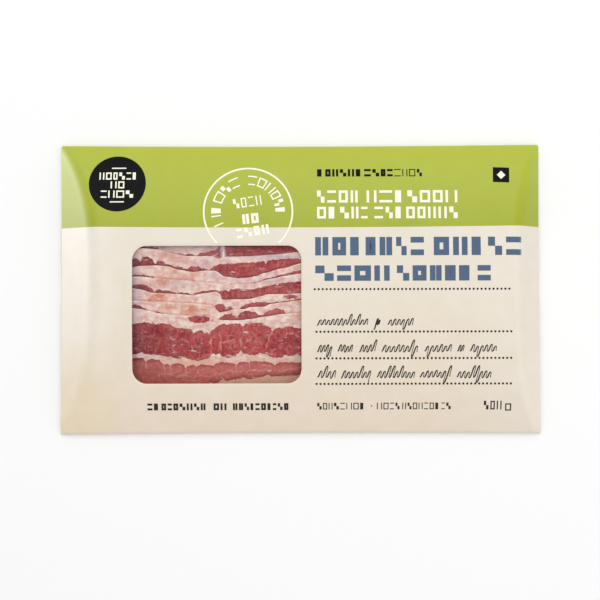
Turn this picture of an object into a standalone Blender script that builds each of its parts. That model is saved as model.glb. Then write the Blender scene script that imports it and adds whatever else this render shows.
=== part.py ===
"""Window pack of streaky bacon, lying on its back with the printed side up.

A flat envelope of folded board, open at a window, holds a fan of overlapping rashers under clear
film. X runs along the pack, Y up its printed face and Z out of that face. The origin is the
middle of the underside, which is flat.
"""

import math

import bmesh
import bpy
import numpy as np

# Envelope of board, in metres
PACK_LENGTH = 0.2400
PACK_WIDTH = 0.1450
PACK_HEIGHT = 0.0162
BOARD = 0.0005
SIDE_HEIGHT = 0.0026
END_HEIGHT = 0.0014
LEFT_SLOPE = 0.0180
RIGHT_SLOPE = 0.0120
BEND_HEIGHT = 0.0040
ARCH_POWER = 3.0
SIDE_BOW = 0.0007
END_BOW = 0.0004
CORNER_NIP = 0.0004
SEAM = 0.0025

# Window in the front panel
WINDOW_LEFT = -0.0831
WINDOW_RIGHT = 0.0005
WINDOW_LOW = -0.0472
WINDOW_HIGH = 0.0209
WINDOW_CORNER = 0.0072
CORNER_STEPS = 6
CUTTER_LOW = 0.0030
CUTTER_HIGH = 0.0250

# Fan of rashers, counted from the one that lies on top
RASHERS = 12
RASHER_LENGTH = 0.2020
RASHER_MIDDLE = 0.0030
RASHER_WIDTH = 0.0374
RASHER_THICKNESS = 0.0016
FAN_LOW = -0.0506
FAN_PITCH = 0.0061
FAN_BOW = 0.0026
BOW_WAVELENGTH = 0.1100
BOW_CREST = -0.0850
EDGE_WAVE = 0.0003
WIDTH_WAVE = 0.0003
EDGE_WAVELENGTH = 0.0620
SWELL = 0.00015
SWELL_WAVELENGTH = 0.0900
END_STAGGER = 0.0025
STAGGER_CYCLE = 5
LEFT_STAGGER_STEP = 3
RIGHT_STAGGER_STEP = 2

# Clear film over the fan, sealed to a flat rim round it
FILM = 0.0003
FILM_SHOULDER = 0.0004
FILM_SLOPE = 0.0026
FILM_END_SLOPE = 0.0050
FILM_RIM = 0.0030

# Room between neighbouring pieces
GAP = 0.0003

# Steps along and across the pack
BOARD_STEPS = (30, 18)
EDGE_CROWDING = 0.55
RASHER_STEPS = 16
RASHER_LINES = 6
LAST_STRIP = 0.0010
FILM_STEPS = 16

FLOOR = BOARD + GAP
LAYER = RASHER_THICKNESS + GAP
GOLDEN_TURN = math.pi * (3 - math.sqrt(5))

SHARP_EDGE = math.radians(35)
NUDGE = BOARD / 10

# Colour and roughness of each kind of piece
BOARD_FINISH = ((0.80, 0.74, 0.62), 0.45)
FILM_FINISH = ((0.86, 0.88, 0.90), 0.10)
LEAN_FINISH = ((0.36, 0.06, 0.07), 0.40)
FAT_FINISH = ((0.73, 0.54, 0.48), 0.40)


def clear_scene():
    """Removes the objects that a new file starts with."""
    for item in list(bpy.data.objects):
        bpy.data.objects.remove(item, do_unlink=True)


def plain_material(name, finish):
    """A plain Principled material for one kind of piece."""
    colour, roughness = finish
    material = bpy.data.materials.new(name)
    material.use_nodes = True
    shader = material.node_tree.nodes["Principled BSDF"]
    shader.inputs["Base Color"].default_value = (*colour, 1.0)
    shader.inputs["Roughness"].default_value = roughness
    shader.inputs["Metallic"].default_value = 0.0
    return material


def add_object(name, mesh, material):
    """Links a mesh to the scene as one named, smoothly shaded sub-part."""
    mesh.materials.append(material)
    mesh.shade_smooth()
    mesh.set_sharp_from_angle(angle=SHARP_EDGE)
    item = bpy.data.objects.new(name, mesh)
    bpy.context.collection.objects.link(item)
    return item


def grid_faces(rows, columns, first, upward):
    """Triangles over a grid of points whose numbers start at first, all split the same way."""
    faces = []
    for row in range(rows - 1):
        for column in range(columns - 1):
            near = first + row * columns + column
            far = near + columns
            for triangle in ((near, far, far + 1), (near, far + 1, near + 1)):
                faces.append(triangle if upward else triangle[::-1])
    return faces


def rim(rows, columns):
    """Numbers of the points round the edge of a grid, anticlockwise seen from above."""
    low = [row * columns for row in range(rows)]
    right = [(rows - 1) * columns + column for column in range(1, columns)]
    high = [row * columns + columns - 1 for row in range(rows - 2, -1, -1)]
    left = [column for column in range(columns - 2, 0, -1)]
    return low + right + high + left


def sheet_mesh(name, top, bottom):
    """A closed sheet between two grids of points with the same rows and columns."""
    rows, columns = top.shape[:2]
    under = rows * columns
    points = np.concatenate([top.reshape(-1, 3), bottom.reshape(-1, 3)])
    faces = grid_faces(rows, columns, 0, True)
    faces += grid_faces(rows, columns, under, False)
    edge = rim(rows, columns)
    for here, after in zip(edge, edge[1:] + edge[:1]):
        faces.append((here, here + under, after + under, after))
    mesh = bpy.data.meshes.new(name)
    mesh.from_pydata(points.tolist(), [], faces)
    return mesh


def block_mesh(name, top, floor):
    """A closed block under a grid of points, with upright sides and a flat bottom at floor."""
    rows, columns = top.shape[:2]
    edge = rim(rows, columns)
    foot = top.reshape(-1, 3)[edge].copy()
    foot[:, 2] = floor
    middle = [[0.0, 0.0, floor]]
    points = np.concatenate([top.reshape(-1, 3), foot, middle])
    under = rows * columns
    centre = len(points) - 1
    faces = grid_faces(rows, columns, 0, True)
    for place in range(len(edge)):
        after = (place + 1) % len(edge)
        faces.append((edge[place], under + place, under + after, edge[after]))
        faces.append((under + after, under + place, centre))
    mesh = bpy.data.meshes.new(name)
    mesh.from_pydata(points.tolist(), [], faces)
    return mesh


def soft_min(first, second, reach):
    """The smaller of two values, rounded off where they differ by less than reach."""
    overlap = np.maximum(reach - np.abs(first - second), 0.0) / reach
    return np.minimum(first, second) - reach * overlap**2 / 4


def panel_height(x, y):
    """Outer height of the front panel, an arch across the pack that a slope cuts off at each end."""
    across = np.abs(2 * y / PACK_WIDTH)
    arch = SIDE_HEIGHT + (PACK_HEIGHT - SIDE_HEIGHT) * (1 - across**ARCH_POWER)
    rise = PACK_HEIGHT - END_HEIGHT
    left = END_HEIGHT + rise * (PACK_LENGTH / 2 + x) / LEFT_SLOPE
    right = END_HEIGHT + rise * (PACK_LENGTH / 2 - x) / RIGHT_SLOPE
    return soft_min(soft_min(arch, left, BEND_HEIGHT), right, BEND_HEIGHT)


def inner_height(x, y):
    """Height of the front panel's inner face, one board thickness inside the outer one."""
    along = (panel_height(x + NUDGE, y) - panel_height(x - NUDGE, y)) / (2 * NUDGE)
    across = (panel_height(x, y + NUDGE) - panel_height(x, y - NUDGE)) / (2 * NUDGE)
    return panel_height(x, y) - BOARD * np.sqrt(1 + along**2 + across**2)


def crowded(steps):
    """Stations from -1 to 1 that lie closer together towards both ends."""
    even = np.linspace(-1.0, 1.0, steps + 1)
    return (1 - EDGE_CROWDING) * even + EDGE_CROWDING * np.sin(math.pi / 2 * even)


def envelope_plan():
    """Plan points of the envelope, whose edges are drawn in a little between its corners."""
    along, across = np.meshgrid(crowded(BOARD_STEPS[0]), crowded(BOARD_STEPS[1]), indexing="ij")
    x = along * (PACK_LENGTH / 2 - END_BOW * (1 - across**2))
    y = across * (PACK_WIDTH / 2 - SIDE_BOW * (1 - along**2))
    for row in (0, -1):
        for column in (0, -1):
            x[row, column] -= math.copysign(CORNER_NIP, x[row, column])
            y[row, column] -= math.copysign(CORNER_NIP, y[row, column])
    return x, y


def cutter(name, mesh, material):
    """An object that only cuts others, so it isn't drawn."""
    item = add_object(name, mesh, material)
    item.hide_render = True
    item.display_type = "WIRE"
    return item


def window_mesh():
    """An upright prism with the window's outline, a rectangle with round corners."""
    mesh = bpy.data.meshes.new("window_cutter")
    shape = bmesh.new()
    bmesh.ops.create_cube(shape, size=1.0)
    spans = (WINDOW_RIGHT - WINDOW_LEFT, WINDOW_HIGH - WINDOW_LOW, CUTTER_HIGH - CUTTER_LOW)
    centre = (
        (WINDOW_RIGHT + WINDOW_LEFT) / 2,
        (WINDOW_HIGH + WINDOW_LOW) / 2,
        (CUTTER_HIGH + CUTTER_LOW) / 2,
    )
    bmesh.ops.scale(shape, vec=spans, verts=shape.verts)
    bmesh.ops.translate(shape, vec=centre, verts=shape.verts)
    upright = [
        edge for edge in shape.edges
        if abs(edge.verts[0].co.z - edge.verts[1].co.z) > spans[2] / 2
    ]
    bmesh.ops.bevel(
        shape, geom=upright, offset=WINDOW_CORNER, segments=CORNER_STEPS, profile=0.5,
        affect="EDGES",
    )
    shape.to_mesh(mesh)
    shape.free()
    return mesh


def build_sleeve(material):
    """The folded board: one closed body whose hollow opens at the window."""
    x, y = envelope_plan()
    outer = np.stack([x, y, panel_height(x, y)], axis=-1)
    sleeve = add_object("sleeve", block_mesh("sleeve", outer, 0.0), material)
    x[[0, -1]] -= np.copysign(SEAM, x[[0, -1]])
    y[:, [0, -1]] -= np.copysign(BOARD, y[:, [0, -1]])
    inner = np.stack([x, y, inner_height(x, y)], axis=-1)
    hollow = cutter("hollow_cutter", block_mesh("hollow_cutter", inner, BOARD), material)
    window = cutter("window_cutter", window_mesh(), material)
    for tool in (hollow, window):
        cut = sleeve.modifiers.new(tool.name, "BOOLEAN")
        cut.operation = "DIFFERENCE"
        cut.solver = "EXACT"
        cut.object = tool


def fan_low(x):
    """Y where the rasher on top starts, which rises and falls along the pack."""
    return FAN_LOW + FAN_BOW * np.cos(2 * math.pi * (x - BOW_CREST) / BOW_WAVELENGTH)


def wave(x, number, size):
    """A gentle wave along one rasher's edge, never below zero and different for each rasher."""
    return size * (1 + np.sin(2 * math.pi * x / EDGE_WAVELENGTH + number * GOLDEN_TURN))


def start_line(x, number):
    """Y of the smooth line that the rasher's lower edge waves along."""
    return fan_low(x) + number * FAN_PITCH


def low_edge(x, number):
    """Y of the rasher's lower edge."""
    return start_line(x, number) + wave(x, number, EDGE_WAVE)


def high_edge(x, number):
    """Y of the rasher's upper edge, the one that shows past the rasher on top of it."""
    return low_edge(x, number) + RASHER_WIDTH + wave(x, number + RASHERS, WIDTH_WAVE)


def rasher_base(x, y, number):
    """Height of the rasher's underside, which rests on all the rashers that start further down."""
    started = np.minimum((y - fan_low(x)) / FAN_PITCH, RASHERS - 1.0)
    swell = SWELL * (1 + np.sin(2 * math.pi * x / SWELL_WAVELENGTH))
    return FLOOR + swell + LAYER * np.maximum(started - number, 0.0)


def rasher_ends(number):
    """X of the rasher's two ends, staggered from one rasher to the next."""
    left_share = number * LEFT_STAGGER_STEP % STAGGER_CYCLE / STAGGER_CYCLE
    right_share = number * RIGHT_STAGGER_STEP % STAGGER_CYCLE / STAGGER_CYCLE
    left = RASHER_MIDDLE - RASHER_LENGTH / 2 + END_STAGGER * left_share
    right = RASHER_MIDDLE + RASHER_LENGTH / 2 - END_STAGGER * right_share
    return left, right


def build_rasher(number, material):
    """One slice of the fan, with a line of points wherever a slice under it starts."""
    left, right = rasher_ends(number)
    stations = np.linspace(left, right, RASHER_STEPS + 1)
    high = high_edge(stations, number)
    lines = [low_edge(stations, number)]
    for step in range(1, RASHER_LINES):
        lines.append(start_line(stations, number + step))
    lines.append(np.minimum(start_line(stations, number + RASHER_LINES), high - LAST_STRIP))
    lines.append(high)
    y = np.stack(lines, axis=-1)
    x = np.repeat(stations[:, None], len(lines), axis=1)
    base = rasher_base(x, y, number)
    top = np.stack([x, y, base + RASHER_THICKNESS], axis=-1)
    bottom = np.stack([x, y, base], axis=-1)
    name = f"rasher_{number + 1:02d}"
    add_object(name, sheet_mesh(name, top, bottom), material)


def film_profile(x):
    """Y and height of the film's underside across the pack at one station along the fan."""
    crest = RASHER_THICKNESS + GAP
    foot = FLOOR + GAP
    low = fan_low(x)
    profile = [(low - FILM_SHOULDER, rasher_base(x, low, 0) + crest)]
    for number in range(RASHERS):
        edge = high_edge(x, number)
        profile.append((edge, rasher_base(x, edge, number) + crest))
    last_y, last_z = profile[-1]
    profile.append((last_y + FILM_SHOULDER, last_z))
    low_y = profile[0][0] - FILM_SLOPE
    high_y = profile[-1][0] + FILM_SLOPE
    rim_low = [(low_y - FILM_RIM, foot), (low_y, foot)]
    rim_high = [(high_y, foot), (high_y + FILM_RIM, foot)]
    return np.array(rim_low + profile + rim_high)


def film_row(x, profile):
    """Points of the film's underside at one station."""
    return np.column_stack([np.full(len(profile), x), profile])


def film_end(x, outward):
    """The two flat rows past one end of the fan, where the film is sealed to its rim."""
    flat = film_profile(x)
    flat[:, 1] = FLOOR + GAP
    inner = film_row(x + outward * FILM_END_SLOPE, flat)
    outer = film_row(x + outward * (FILM_END_SLOPE + FILM_RIM), flat)
    return [inner, outer]


def build_film(material):
    """The clear film, draped over the fan from its rim on one side to its rim on the other."""
    left = RASHER_MIDDLE - RASHER_LENGTH / 2 - FILM_SHOULDER
    right = RASHER_MIDDLE + RASHER_LENGTH / 2 + FILM_SHOULDER
    stations = np.linspace(left, right, FILM_STEPS + 1)
    rows = [film_row(x, film_profile(x)) for x in stations]
    bottom = np.array(film_end(left, -1)[::-1] + rows + film_end(right, 1))
    top = bottom + np.array([0.0, 0.0, FILM])
    add_object("film", sheet_mesh("film", top, bottom), material)


clear_scene()
build_sleeve(plain_material("board", BOARD_FINISH))
for rasher_number in range(RASHERS):
    bacon_finish = LEAN_FINISH if rasher_number % 2 == 0 else FAT_FINISH
    build_rasher(rasher_number, plain_material(f"bacon_{rasher_number + 1:02d}", bacon_finish))
build_film(plain_material("film", FILM_FINISH))
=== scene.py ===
"""Window pack of streaky bacon: the finish of every piece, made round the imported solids.

The pack lies on its back with its printed face up. X runs along it, Y up its printed face and
Z out of that face. Lengths are in millimetres until a mesh is made.
"""

import math

import bmesh
import bpy
import numpy as np
from mathutils import Matrix, Vector, geometry


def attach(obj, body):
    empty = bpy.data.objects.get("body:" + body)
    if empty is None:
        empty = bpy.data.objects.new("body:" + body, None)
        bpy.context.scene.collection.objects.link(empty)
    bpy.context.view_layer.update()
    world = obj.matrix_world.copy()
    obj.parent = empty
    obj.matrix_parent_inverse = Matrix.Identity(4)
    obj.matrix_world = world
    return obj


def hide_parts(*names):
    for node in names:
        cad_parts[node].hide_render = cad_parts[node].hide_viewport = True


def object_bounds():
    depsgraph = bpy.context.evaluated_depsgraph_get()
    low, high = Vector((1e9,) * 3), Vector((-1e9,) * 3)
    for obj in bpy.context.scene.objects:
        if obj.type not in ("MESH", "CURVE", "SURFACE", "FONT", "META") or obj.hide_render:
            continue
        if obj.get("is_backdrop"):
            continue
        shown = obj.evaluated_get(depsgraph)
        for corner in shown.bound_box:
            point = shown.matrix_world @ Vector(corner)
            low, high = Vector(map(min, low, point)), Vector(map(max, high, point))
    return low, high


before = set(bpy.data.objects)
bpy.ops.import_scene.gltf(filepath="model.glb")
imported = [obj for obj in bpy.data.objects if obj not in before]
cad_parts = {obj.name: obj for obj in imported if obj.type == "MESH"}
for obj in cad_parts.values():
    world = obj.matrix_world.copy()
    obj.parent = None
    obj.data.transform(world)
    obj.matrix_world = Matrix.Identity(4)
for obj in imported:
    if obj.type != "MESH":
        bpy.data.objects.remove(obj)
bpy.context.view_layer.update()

# Camera: straight above the pack, tipped and turned by the small angles that the photograph
# shows, with a long lens, so that the pack's four corners land where they do in it.
MM = 0.001
AIM = Vector((-0.19, -5.4, 0.0)) * MM
CAMERA_DISTANCE = 900 * MM
CAMERA_TILT = math.radians(2.477)
CAMERA_ROLL = math.radians(-0.166)
LENS = 107.512
SENSOR = 36.0

camera_data = bpy.data.cameras.new("camera")
camera_data.sensor_fit = "HORIZONTAL"
camera_data.sensor_width = SENSOR
camera_data.lens = LENS
camera_data.clip_start = 0.01
camera = bpy.data.objects.new("camera", camera_data)
bpy.context.scene.collection.objects.link(camera)
away = Vector((0.0, -math.sin(CAMERA_TILT), math.cos(CAMERA_TILT))) * CAMERA_DISTANCE
turn = Matrix.Rotation(CAMERA_TILT, 4, "X") @ Matrix.Rotation(CAMERA_ROLL, 4, "Z")
camera.matrix_world = Matrix.Translation(AIM + away) @ turn
bpy.context.scene.camera = camera

# Board blank: one sheet of white-cored carton board, printed on its outer face and varnished. It
# is folded along both long sides, glued in a lengthwise seam on the back and pressed shut at
# both ends, and the bacon inside pushes the front panel up into a low cushion.
LENGTH = 240.0
WIDTH = 145.0
HEIGHT = 16.2
SIDE_HEIGHT = 2.6
END_HEIGHT = 1.4
LEFT_SLOPE = 18.0
RIGHT_SLOPE = 12.0
BEND = 4.0
ARCH_POWER = 3.0
SIDE_BOW = 0.7
END_BOW = 0.4
CORNER_NIP = 0.4
CORNER_REACH = 1.2
BOARD = 0.45
FOLD_START = 1.7
FOLD_END = 1.3
FOLD_REACH = 0.42
FOLD_ARC = 4.8
FOLD_ROWS = 9
FOLD_FULLNESS = 0.80
SIDE_HUG = 8
END_HUG = 12
SEAM_HALF = 7.0
SEAM_STEP = 2.5
SEAM_RISE = 0.52
FRONT_CELL = 2.0
BACK_CELL = 5.0
WINDOW_LEFT = -83.1
WINDOW_RIGHT = 0.5
WINDOW_LOW = -47.2
WINDOW_HIGH = 20.9
WINDOW_CORNER = 7.2
WINDOW_CORNER_STEPS = 14
LIP = 0.65
LIP_DROP = 0.22
CLEAR_OF_LIP = 0.7
BAND_MIDDLE = 29.9
BAND_CURVE = 0.85


def linear(code):
    """The linear colour, with alpha 1, of an sRGB hex code."""
    shares = [int(code[place:place + 2], 16) / 255 for place in (1, 3, 5)]
    return tuple([s / 12.92 if s <= 0.04045 else ((s + 0.055) / 1.055) ** 2.4 for s in shares] + [1.0])


def add_node(tree, kind, inputs=None, **settings):
    """Adds one node with its settings. Each input gets a value, or a socket or node to link."""
    node = tree.nodes.new(kind)
    for name, setting in settings.items():
        setattr(node, name, setting)
    for name, given in (inputs or {}).items():
        source = given.outputs[0] if isinstance(given, bpy.types.Node) else given
        if isinstance(source, bpy.types.NodeSocket):
            tree.links.new(source, node.inputs[name])
        else:
            node.inputs[name].default_value = given
    return node


def new_material(name):
    """An empty material tree with its output, and the object coordinates that patterns read."""
    material = bpy.data.materials.new(name)
    material.use_nodes = True
    tree = material.node_tree
    tree.nodes.clear()
    place = add_node(tree, "ShaderNodeTexCoord").outputs["Object"]
    return material, tree, place


def set_ramp(node, stops):
    """Gives a colour ramp its stops, each a place and a colour."""
    ramp = node.color_ramp
    while len(ramp.elements) < len(stops):
        ramp.elements.new(1.0)
    for element, (place, colour) in zip(ramp.elements, stops):
        element.position = place
        element.color = colour
    return node


def link_object(name, mesh):
    """An object for a mesh, in the scene."""
    item = bpy.data.objects.new(name, mesh)
    bpy.context.scene.collection.objects.link(item)
    return item


def mesh_from(name, points, faces):
    """A mesh from points in millimetres."""
    mesh = bpy.data.meshes.new(name)
    mesh.from_pydata((np.asarray(points, float) * MM).tolist(), [], faces)
    return mesh


def keep_values(mesh, values):
    """Stores one number for each point under each name."""
    for name, numbers in values.items():
        layer = mesh.attributes.new(name, "FLOAT", "POINT")
        layer.data.foreach_set("value", np.asarray(numbers, np.float32).ravel())


def freeze(item):
    """Turns an object's modifiers into plain mesh."""
    bpy.context.view_layer.update()
    evaluated = item.evaluated_get(bpy.context.evaluated_depsgraph_get())
    mesh = bpy.data.meshes.new_from_object(evaluated)
    item.modifiers.clear()
    item.data = mesh
    return item


def smooth_with_edges(item, degrees):
    """Smooth shading that stays sharp across edges steeper than an angle."""
    item.data.shade_smooth()
    item.data.set_sharp_from_angle(angle=math.radians(degrees))


def new_tree(name, sizes, counts=()):
    """A node tree for geometry with its named inputs, and the outputs that give them."""
    tree = bpy.data.node_groups.new(name, "GeometryNodeTree")
    kinds = {"Geometry": "Geometry", **dict.fromkeys(sizes, "Float"), **dict.fromkeys(counts, "Int"),
             "Material": "Material"}
    for socket, kind in kinds.items():
        tree.interface.new_socket(socket, in_out="INPUT", socket_type=f"NodeSocket{kind}")
    tree.interface.new_socket("Geometry", in_out="OUTPUT", socket_type="NodeSocketGeometry")
    return tree, add_node(tree, "NodeGroupInput").outputs


def close_tree(tree, shape, material):
    """Ends a tree with real geometry in one material."""
    real = add_node(tree, "GeometryNodeRealizeInstances", {"Geometry": shape})
    dressed = add_node(tree, "GeometryNodeSetMaterial", {"Geometry": real, "Material": material})
    add_node(tree, "NodeGroupOutput", {"Geometry": dressed})


def add_tree(item, tree, values):
    """Adds a node tree to an object. Its inputs are found by their names and set by identifier."""
    modifier = item.modifiers.new(tree.name, "NODES")
    modifier.node_group = tree
    for socket in tree.interface.items_tree:
        if socket.item_type == "SOCKET" and socket.in_out == "INPUT" and socket.name in values:
            modifier[socket.identifier] = values[socket.name]


def grid_faces(rows, columns, first=0):
    """Faces of a grid of points that lie row after row."""
    starts = [first + row * columns + column for row in range(rows - 1) for column in range(columns - 1)]
    return [(a, a + columns, a + columns + 1, a + 1) for a in starts]


def rounded_outline(left, right, low, high, corner, steps):
    """Outline of a rectangle with round corners, anticlockwise."""
    centres = [(right - corner, high - corner), (left + corner, high - corner),
               (left + corner, low + corner), (right - corner, low + corner)]
    points = []
    for quarter, (x, y) in enumerate(centres):
        for step in range(steps + 1):
            angle = math.pi / 2 * (quarter + step / steps)
            points.append((x + corner * math.cos(angle), y + corner * math.sin(angle)))
    return points


def spread(outline, spacing):
    """An outline with further points on its long straight edges."""
    points = []
    for here, after in zip(outline, outline[1:] + outline[:1]):
        cuts = max(1, round(math.dist(here, after) / spacing))
        for cut in range(cuts):
            share = cut / cuts
            points.append((here[0] + (after[0] - here[0]) * share, here[1] + (after[1] - here[1]) * share))
    return points


def depth_inside(outline, points):
    """Distance of each point from an outline, positive inside it."""
    start = np.array(outline)
    end = np.roll(start, -1, axis=0)
    along = end - start
    reach = points[:, None, :] - start[None]
    share = np.clip((reach * along).sum(-1) / (along**2).sum(-1), 0, 1)
    distance = np.linalg.norm(reach - share[..., None] * along, axis=-1).min(1)
    above = (start[None, :, 1] > points[:, None, 1]) != (end[None, :, 1] > points[:, None, 1])
    slope = along[:, 0] / np.where(along[:, 1] == 0, 1e-9, along[:, 1])
    crossing = start[None, :, 0] + (points[:, None, 1] - start[None, :, 1]) * slope
    inside = (above & (points[:, None, 0] < crossing)).sum(1) % 2 == 1
    return np.where(inside, distance, -distance)


def triangulate(points, outline):
    """Triangles over scattered points with a closed outline among their edges."""
    count = len(points)
    corners = [Vector(p) for p in points] + [Vector(p) for p in outline]
    ring = [(count + place, count + (place + 1) % len(outline)) for place in range(len(outline))]
    found = geometry.delaunay_2d_cdt(corners, ring, [], 0, 1e-6)
    return np.array([tuple(p) for p in found[0]]), found[2]


def panel_tree():
    """Node tree that lifts flat shapes onto the front panel's cushion.

    Each point carries the Y that its height is read at and its share of that height, which is 1
    on the panel and falls to 0 round a fold.
    """
    tree, inlet = new_tree("lay on panel", (
        "Half length", "Half width", "Height", "Side height", "End height", "Left slope", "Right slope",
        "Bend", "Arch power", "Lift"))
    known = {socket.name: socket for socket in inlet}
    known["x"] = add_node(tree, "ShaderNodeSeparateXYZ", {0: add_node(tree, "GeometryNodeInputPosition")})
    for name in ("across", "share"):
        known[name] = add_node(tree, "GeometryNodeInputNamedAttribute", {"Name": name}, data_type="FLOAT")

    # The arch across the pack, cut off by a slope at each end, with the bend between them rounded
    steps = [("outward", "ABSOLUTE", "across"), ("outward", "DIVIDE", "outward", "Half width"),
             ("outward", "POWER", "outward", "Arch power"), ("fall", "SUBTRACT", 1.0, "outward"),
             ("crown", "SUBTRACT", "Height", "Side height"), ("rise", "SUBTRACT", "Height", "End height"),
             ("height", "MULTIPLY_ADD", "crown", "fall", "Side height")]
    for side, slope_length in ((1.0, "Left slope"), (-1.0, "Right slope")):
        steps += [("run", "MULTIPLY_ADD", "x", side, "Half length"), ("run", "DIVIDE", "run", slope_length),
                  ("slope", "MULTIPLY_ADD", "rise", "run", "End height"),
                  ("apart", "SUBTRACT", "height", "slope"), ("apart", "ABSOLUTE", "apart"),
                  ("apart", "DIVIDE", "apart", "Bend"), ("overlap", "SUBTRACT", 1.0, "apart"),
                  ("overlap", "MAXIMUM", "overlap", 0.0), ("drop", "MULTIPLY", "overlap", "overlap"),
                  ("drop", "MULTIPLY", "drop", "Bend"), ("lower", "MINIMUM", "height", "slope"),
                  ("height", "MULTIPLY_ADD", "drop", -0.25, "lower")]
    steps += [("height", "ADD", "height", "Lift"), ("height", "MULTIPLY", "height", "share")]
    for name, operation, *terms in steps:
        inputs = {number: known.get(term, term) for number, term in enumerate(terms)}
        known[name] = add_node(tree, "ShaderNodeMath", inputs, operation=operation)
    offset = add_node(tree, "ShaderNodeCombineXYZ", {"Z": known["height"]})
    moved = add_node(tree, "GeometryNodeSetPosition", {"Geometry": inlet["Geometry"], "Offset": offset})
    close_tree(tree, moved, inlet["Material"])
    return tree


lay_on_panel = panel_tree()


def raise_to_panel(item, lift, material):
    """Adds the modifier that lifts an object's flat mesh onto the front panel."""
    sizes = {"Half length": LENGTH / 2, "Half width": WIDTH / 2, "Height": HEIGHT, "Bend": BEND,
             "Side height": SIDE_HEIGHT, "End height": END_HEIGHT, "Left slope": LEFT_SLOPE,
             "Right slope": RIGHT_SLOPE, "Lift": lift}
    values = {name: size * MM for name, size in sizes.items()}
    add_tree(item, lay_on_panel, {**values, "Arch power": ARCH_POWER, "Material": material})


def fold_blank(x, s):
    """Folded place of points on the flat blank, whose X is x and whose place round it is s.

    The front panel lies between the folds. Past each fold the blank turns under and runs back
    along the underside, where the two flaps overlap in the glued seam. Returns X, Y, the Y at
    which the panel's height is read, the share of that height, and a height of its own.
    """
    side = np.sign(s)
    reach = np.abs(s)
    half = LENGTH / 2
    edge = WIDTH / 2 - SIDE_BOW * (1 - (x / half) ** 2)
    front_end = WIDTH / 2 - FOLD_START
    turned = np.clip((reach - front_end) / FOLD_ARC, 0, 1)
    keep = 1 - turned
    start_y = edge - FOLD_START
    drawn = np.clip(reach / front_end, 0, 1) ** SIDE_HUG
    front_y = reach - drawn * (front_end - start_y)
    fold_y = (keep**3 * start_y + 3 * keep**2 * turned * (edge + FOLD_REACH)
              + 3 * keep * turned**2 * (edge + FOLD_REACH) + turned**3 * (edge - FOLD_END))
    fold_share = keep**3 + 3 * keep**2 * turned * FOLD_FULLNESS
    past = np.maximum(reach - front_end - FOLD_ARC, 0)
    y = np.where(turned <= 0, front_y, np.where(turned < 1, fold_y, edge - FOLD_END - past))
    share = np.where(turned <= 0, 1.0, fold_share)
    read_y = np.minimum(y, start_y) * side
    inner = np.clip((SEAM_HALF + SEAM_STEP - y) / SEAM_STEP, 0, 1)
    own = np.where((side > 0) & (turned >= 1), SEAM_RISE * inner**2 * (3 - 2 * inner), 0.0)
    nip = np.clip((y - (edge - CORNER_REACH)) / CORNER_REACH, 0, 1) ** 2
    far = np.abs(x / half) ** END_HUG
    drawn_x = x * (1 - far * (END_BOW * (1 - (np.minimum(y, edge) / edge) ** 2) + CORNER_NIP * nip) / half)
    return drawn_x, y * side, read_y, share, own


def blank_points():
    """Points of the flat blank: close on the folds and the ends, wide on the back."""
    front_end = WIDTH / 2 - FOLD_START
    last = front_end + FOLD_ARC + (WIDTH / 2 - FOLD_END) + SEAM_HALF
    columns = LENGTH / FRONT_CELL
    x = np.linspace(-1, 1, round(columns) + 1)
    x = LENGTH / 2 * (0.75 * x + 0.25 * np.sin(math.pi / 2 * x))
    front = np.linspace(-front_end, front_end, round(2 * front_end / FRONT_CELL) + 1)
    fold = front_end + FOLD_ARC * np.arange(1, FOLD_ROWS + 1) / FOLD_ROWS
    step = SEAM_STEP / 2
    seam_start = last - 2 * SEAM_HALF - SEAM_STEP
    plain = np.linspace(fold[-1], seam_start, round((seam_start - fold[-1]) / BACK_CELL) + 1)[1:]
    seam = np.append(np.arange(seam_start + step, last - step, step * 1.5), last)
    rows = np.concatenate([front, fold, -fold, plain, -plain, seam, -seam])
    return np.stack(np.meshgrid(x, rows, indexing="ij"), axis=-1).reshape(-1, 2)


def fibre_board(name, code, roughness):
    """Uncoated carton core: short grey-white fibres, dull, with painted shade that makes them a
    little darker in the hollows of their relief. They are drawn 0.5 mm wide, coarser than real
    ones, so that they show."""
    material, tree, place = new_material(name)
    fibre = add_node(tree, "ShaderNodeTexNoise",
                     {"Vector": place, "Scale": 1 / (0.5 * MM), "Detail": 3.0, "Roughness": 0.6})
    # Tone and relief come from one noise, so the hollows are darker: painted shade over the fibres' own tone
    tone = set_ramp(add_node(tree, "ShaderNodeValToRGB", {"Fac": fibre}),
                    [(0.35, linear(code)), (0.7, linear("#F3EADB"))])
    bump = add_node(tree, "ShaderNodeBump", {"Height": fibre, "Strength": 0.25, "Distance": 0.05 * MM})
    shader = add_node(tree, "ShaderNodeBsdfPrincipled",
                      {"Base Color": tone, "Normal": bump, "Roughness": roughness})
    add_node(tree, "ShaderNodeOutputMaterial", {"Surface": shader})
    return material


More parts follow.
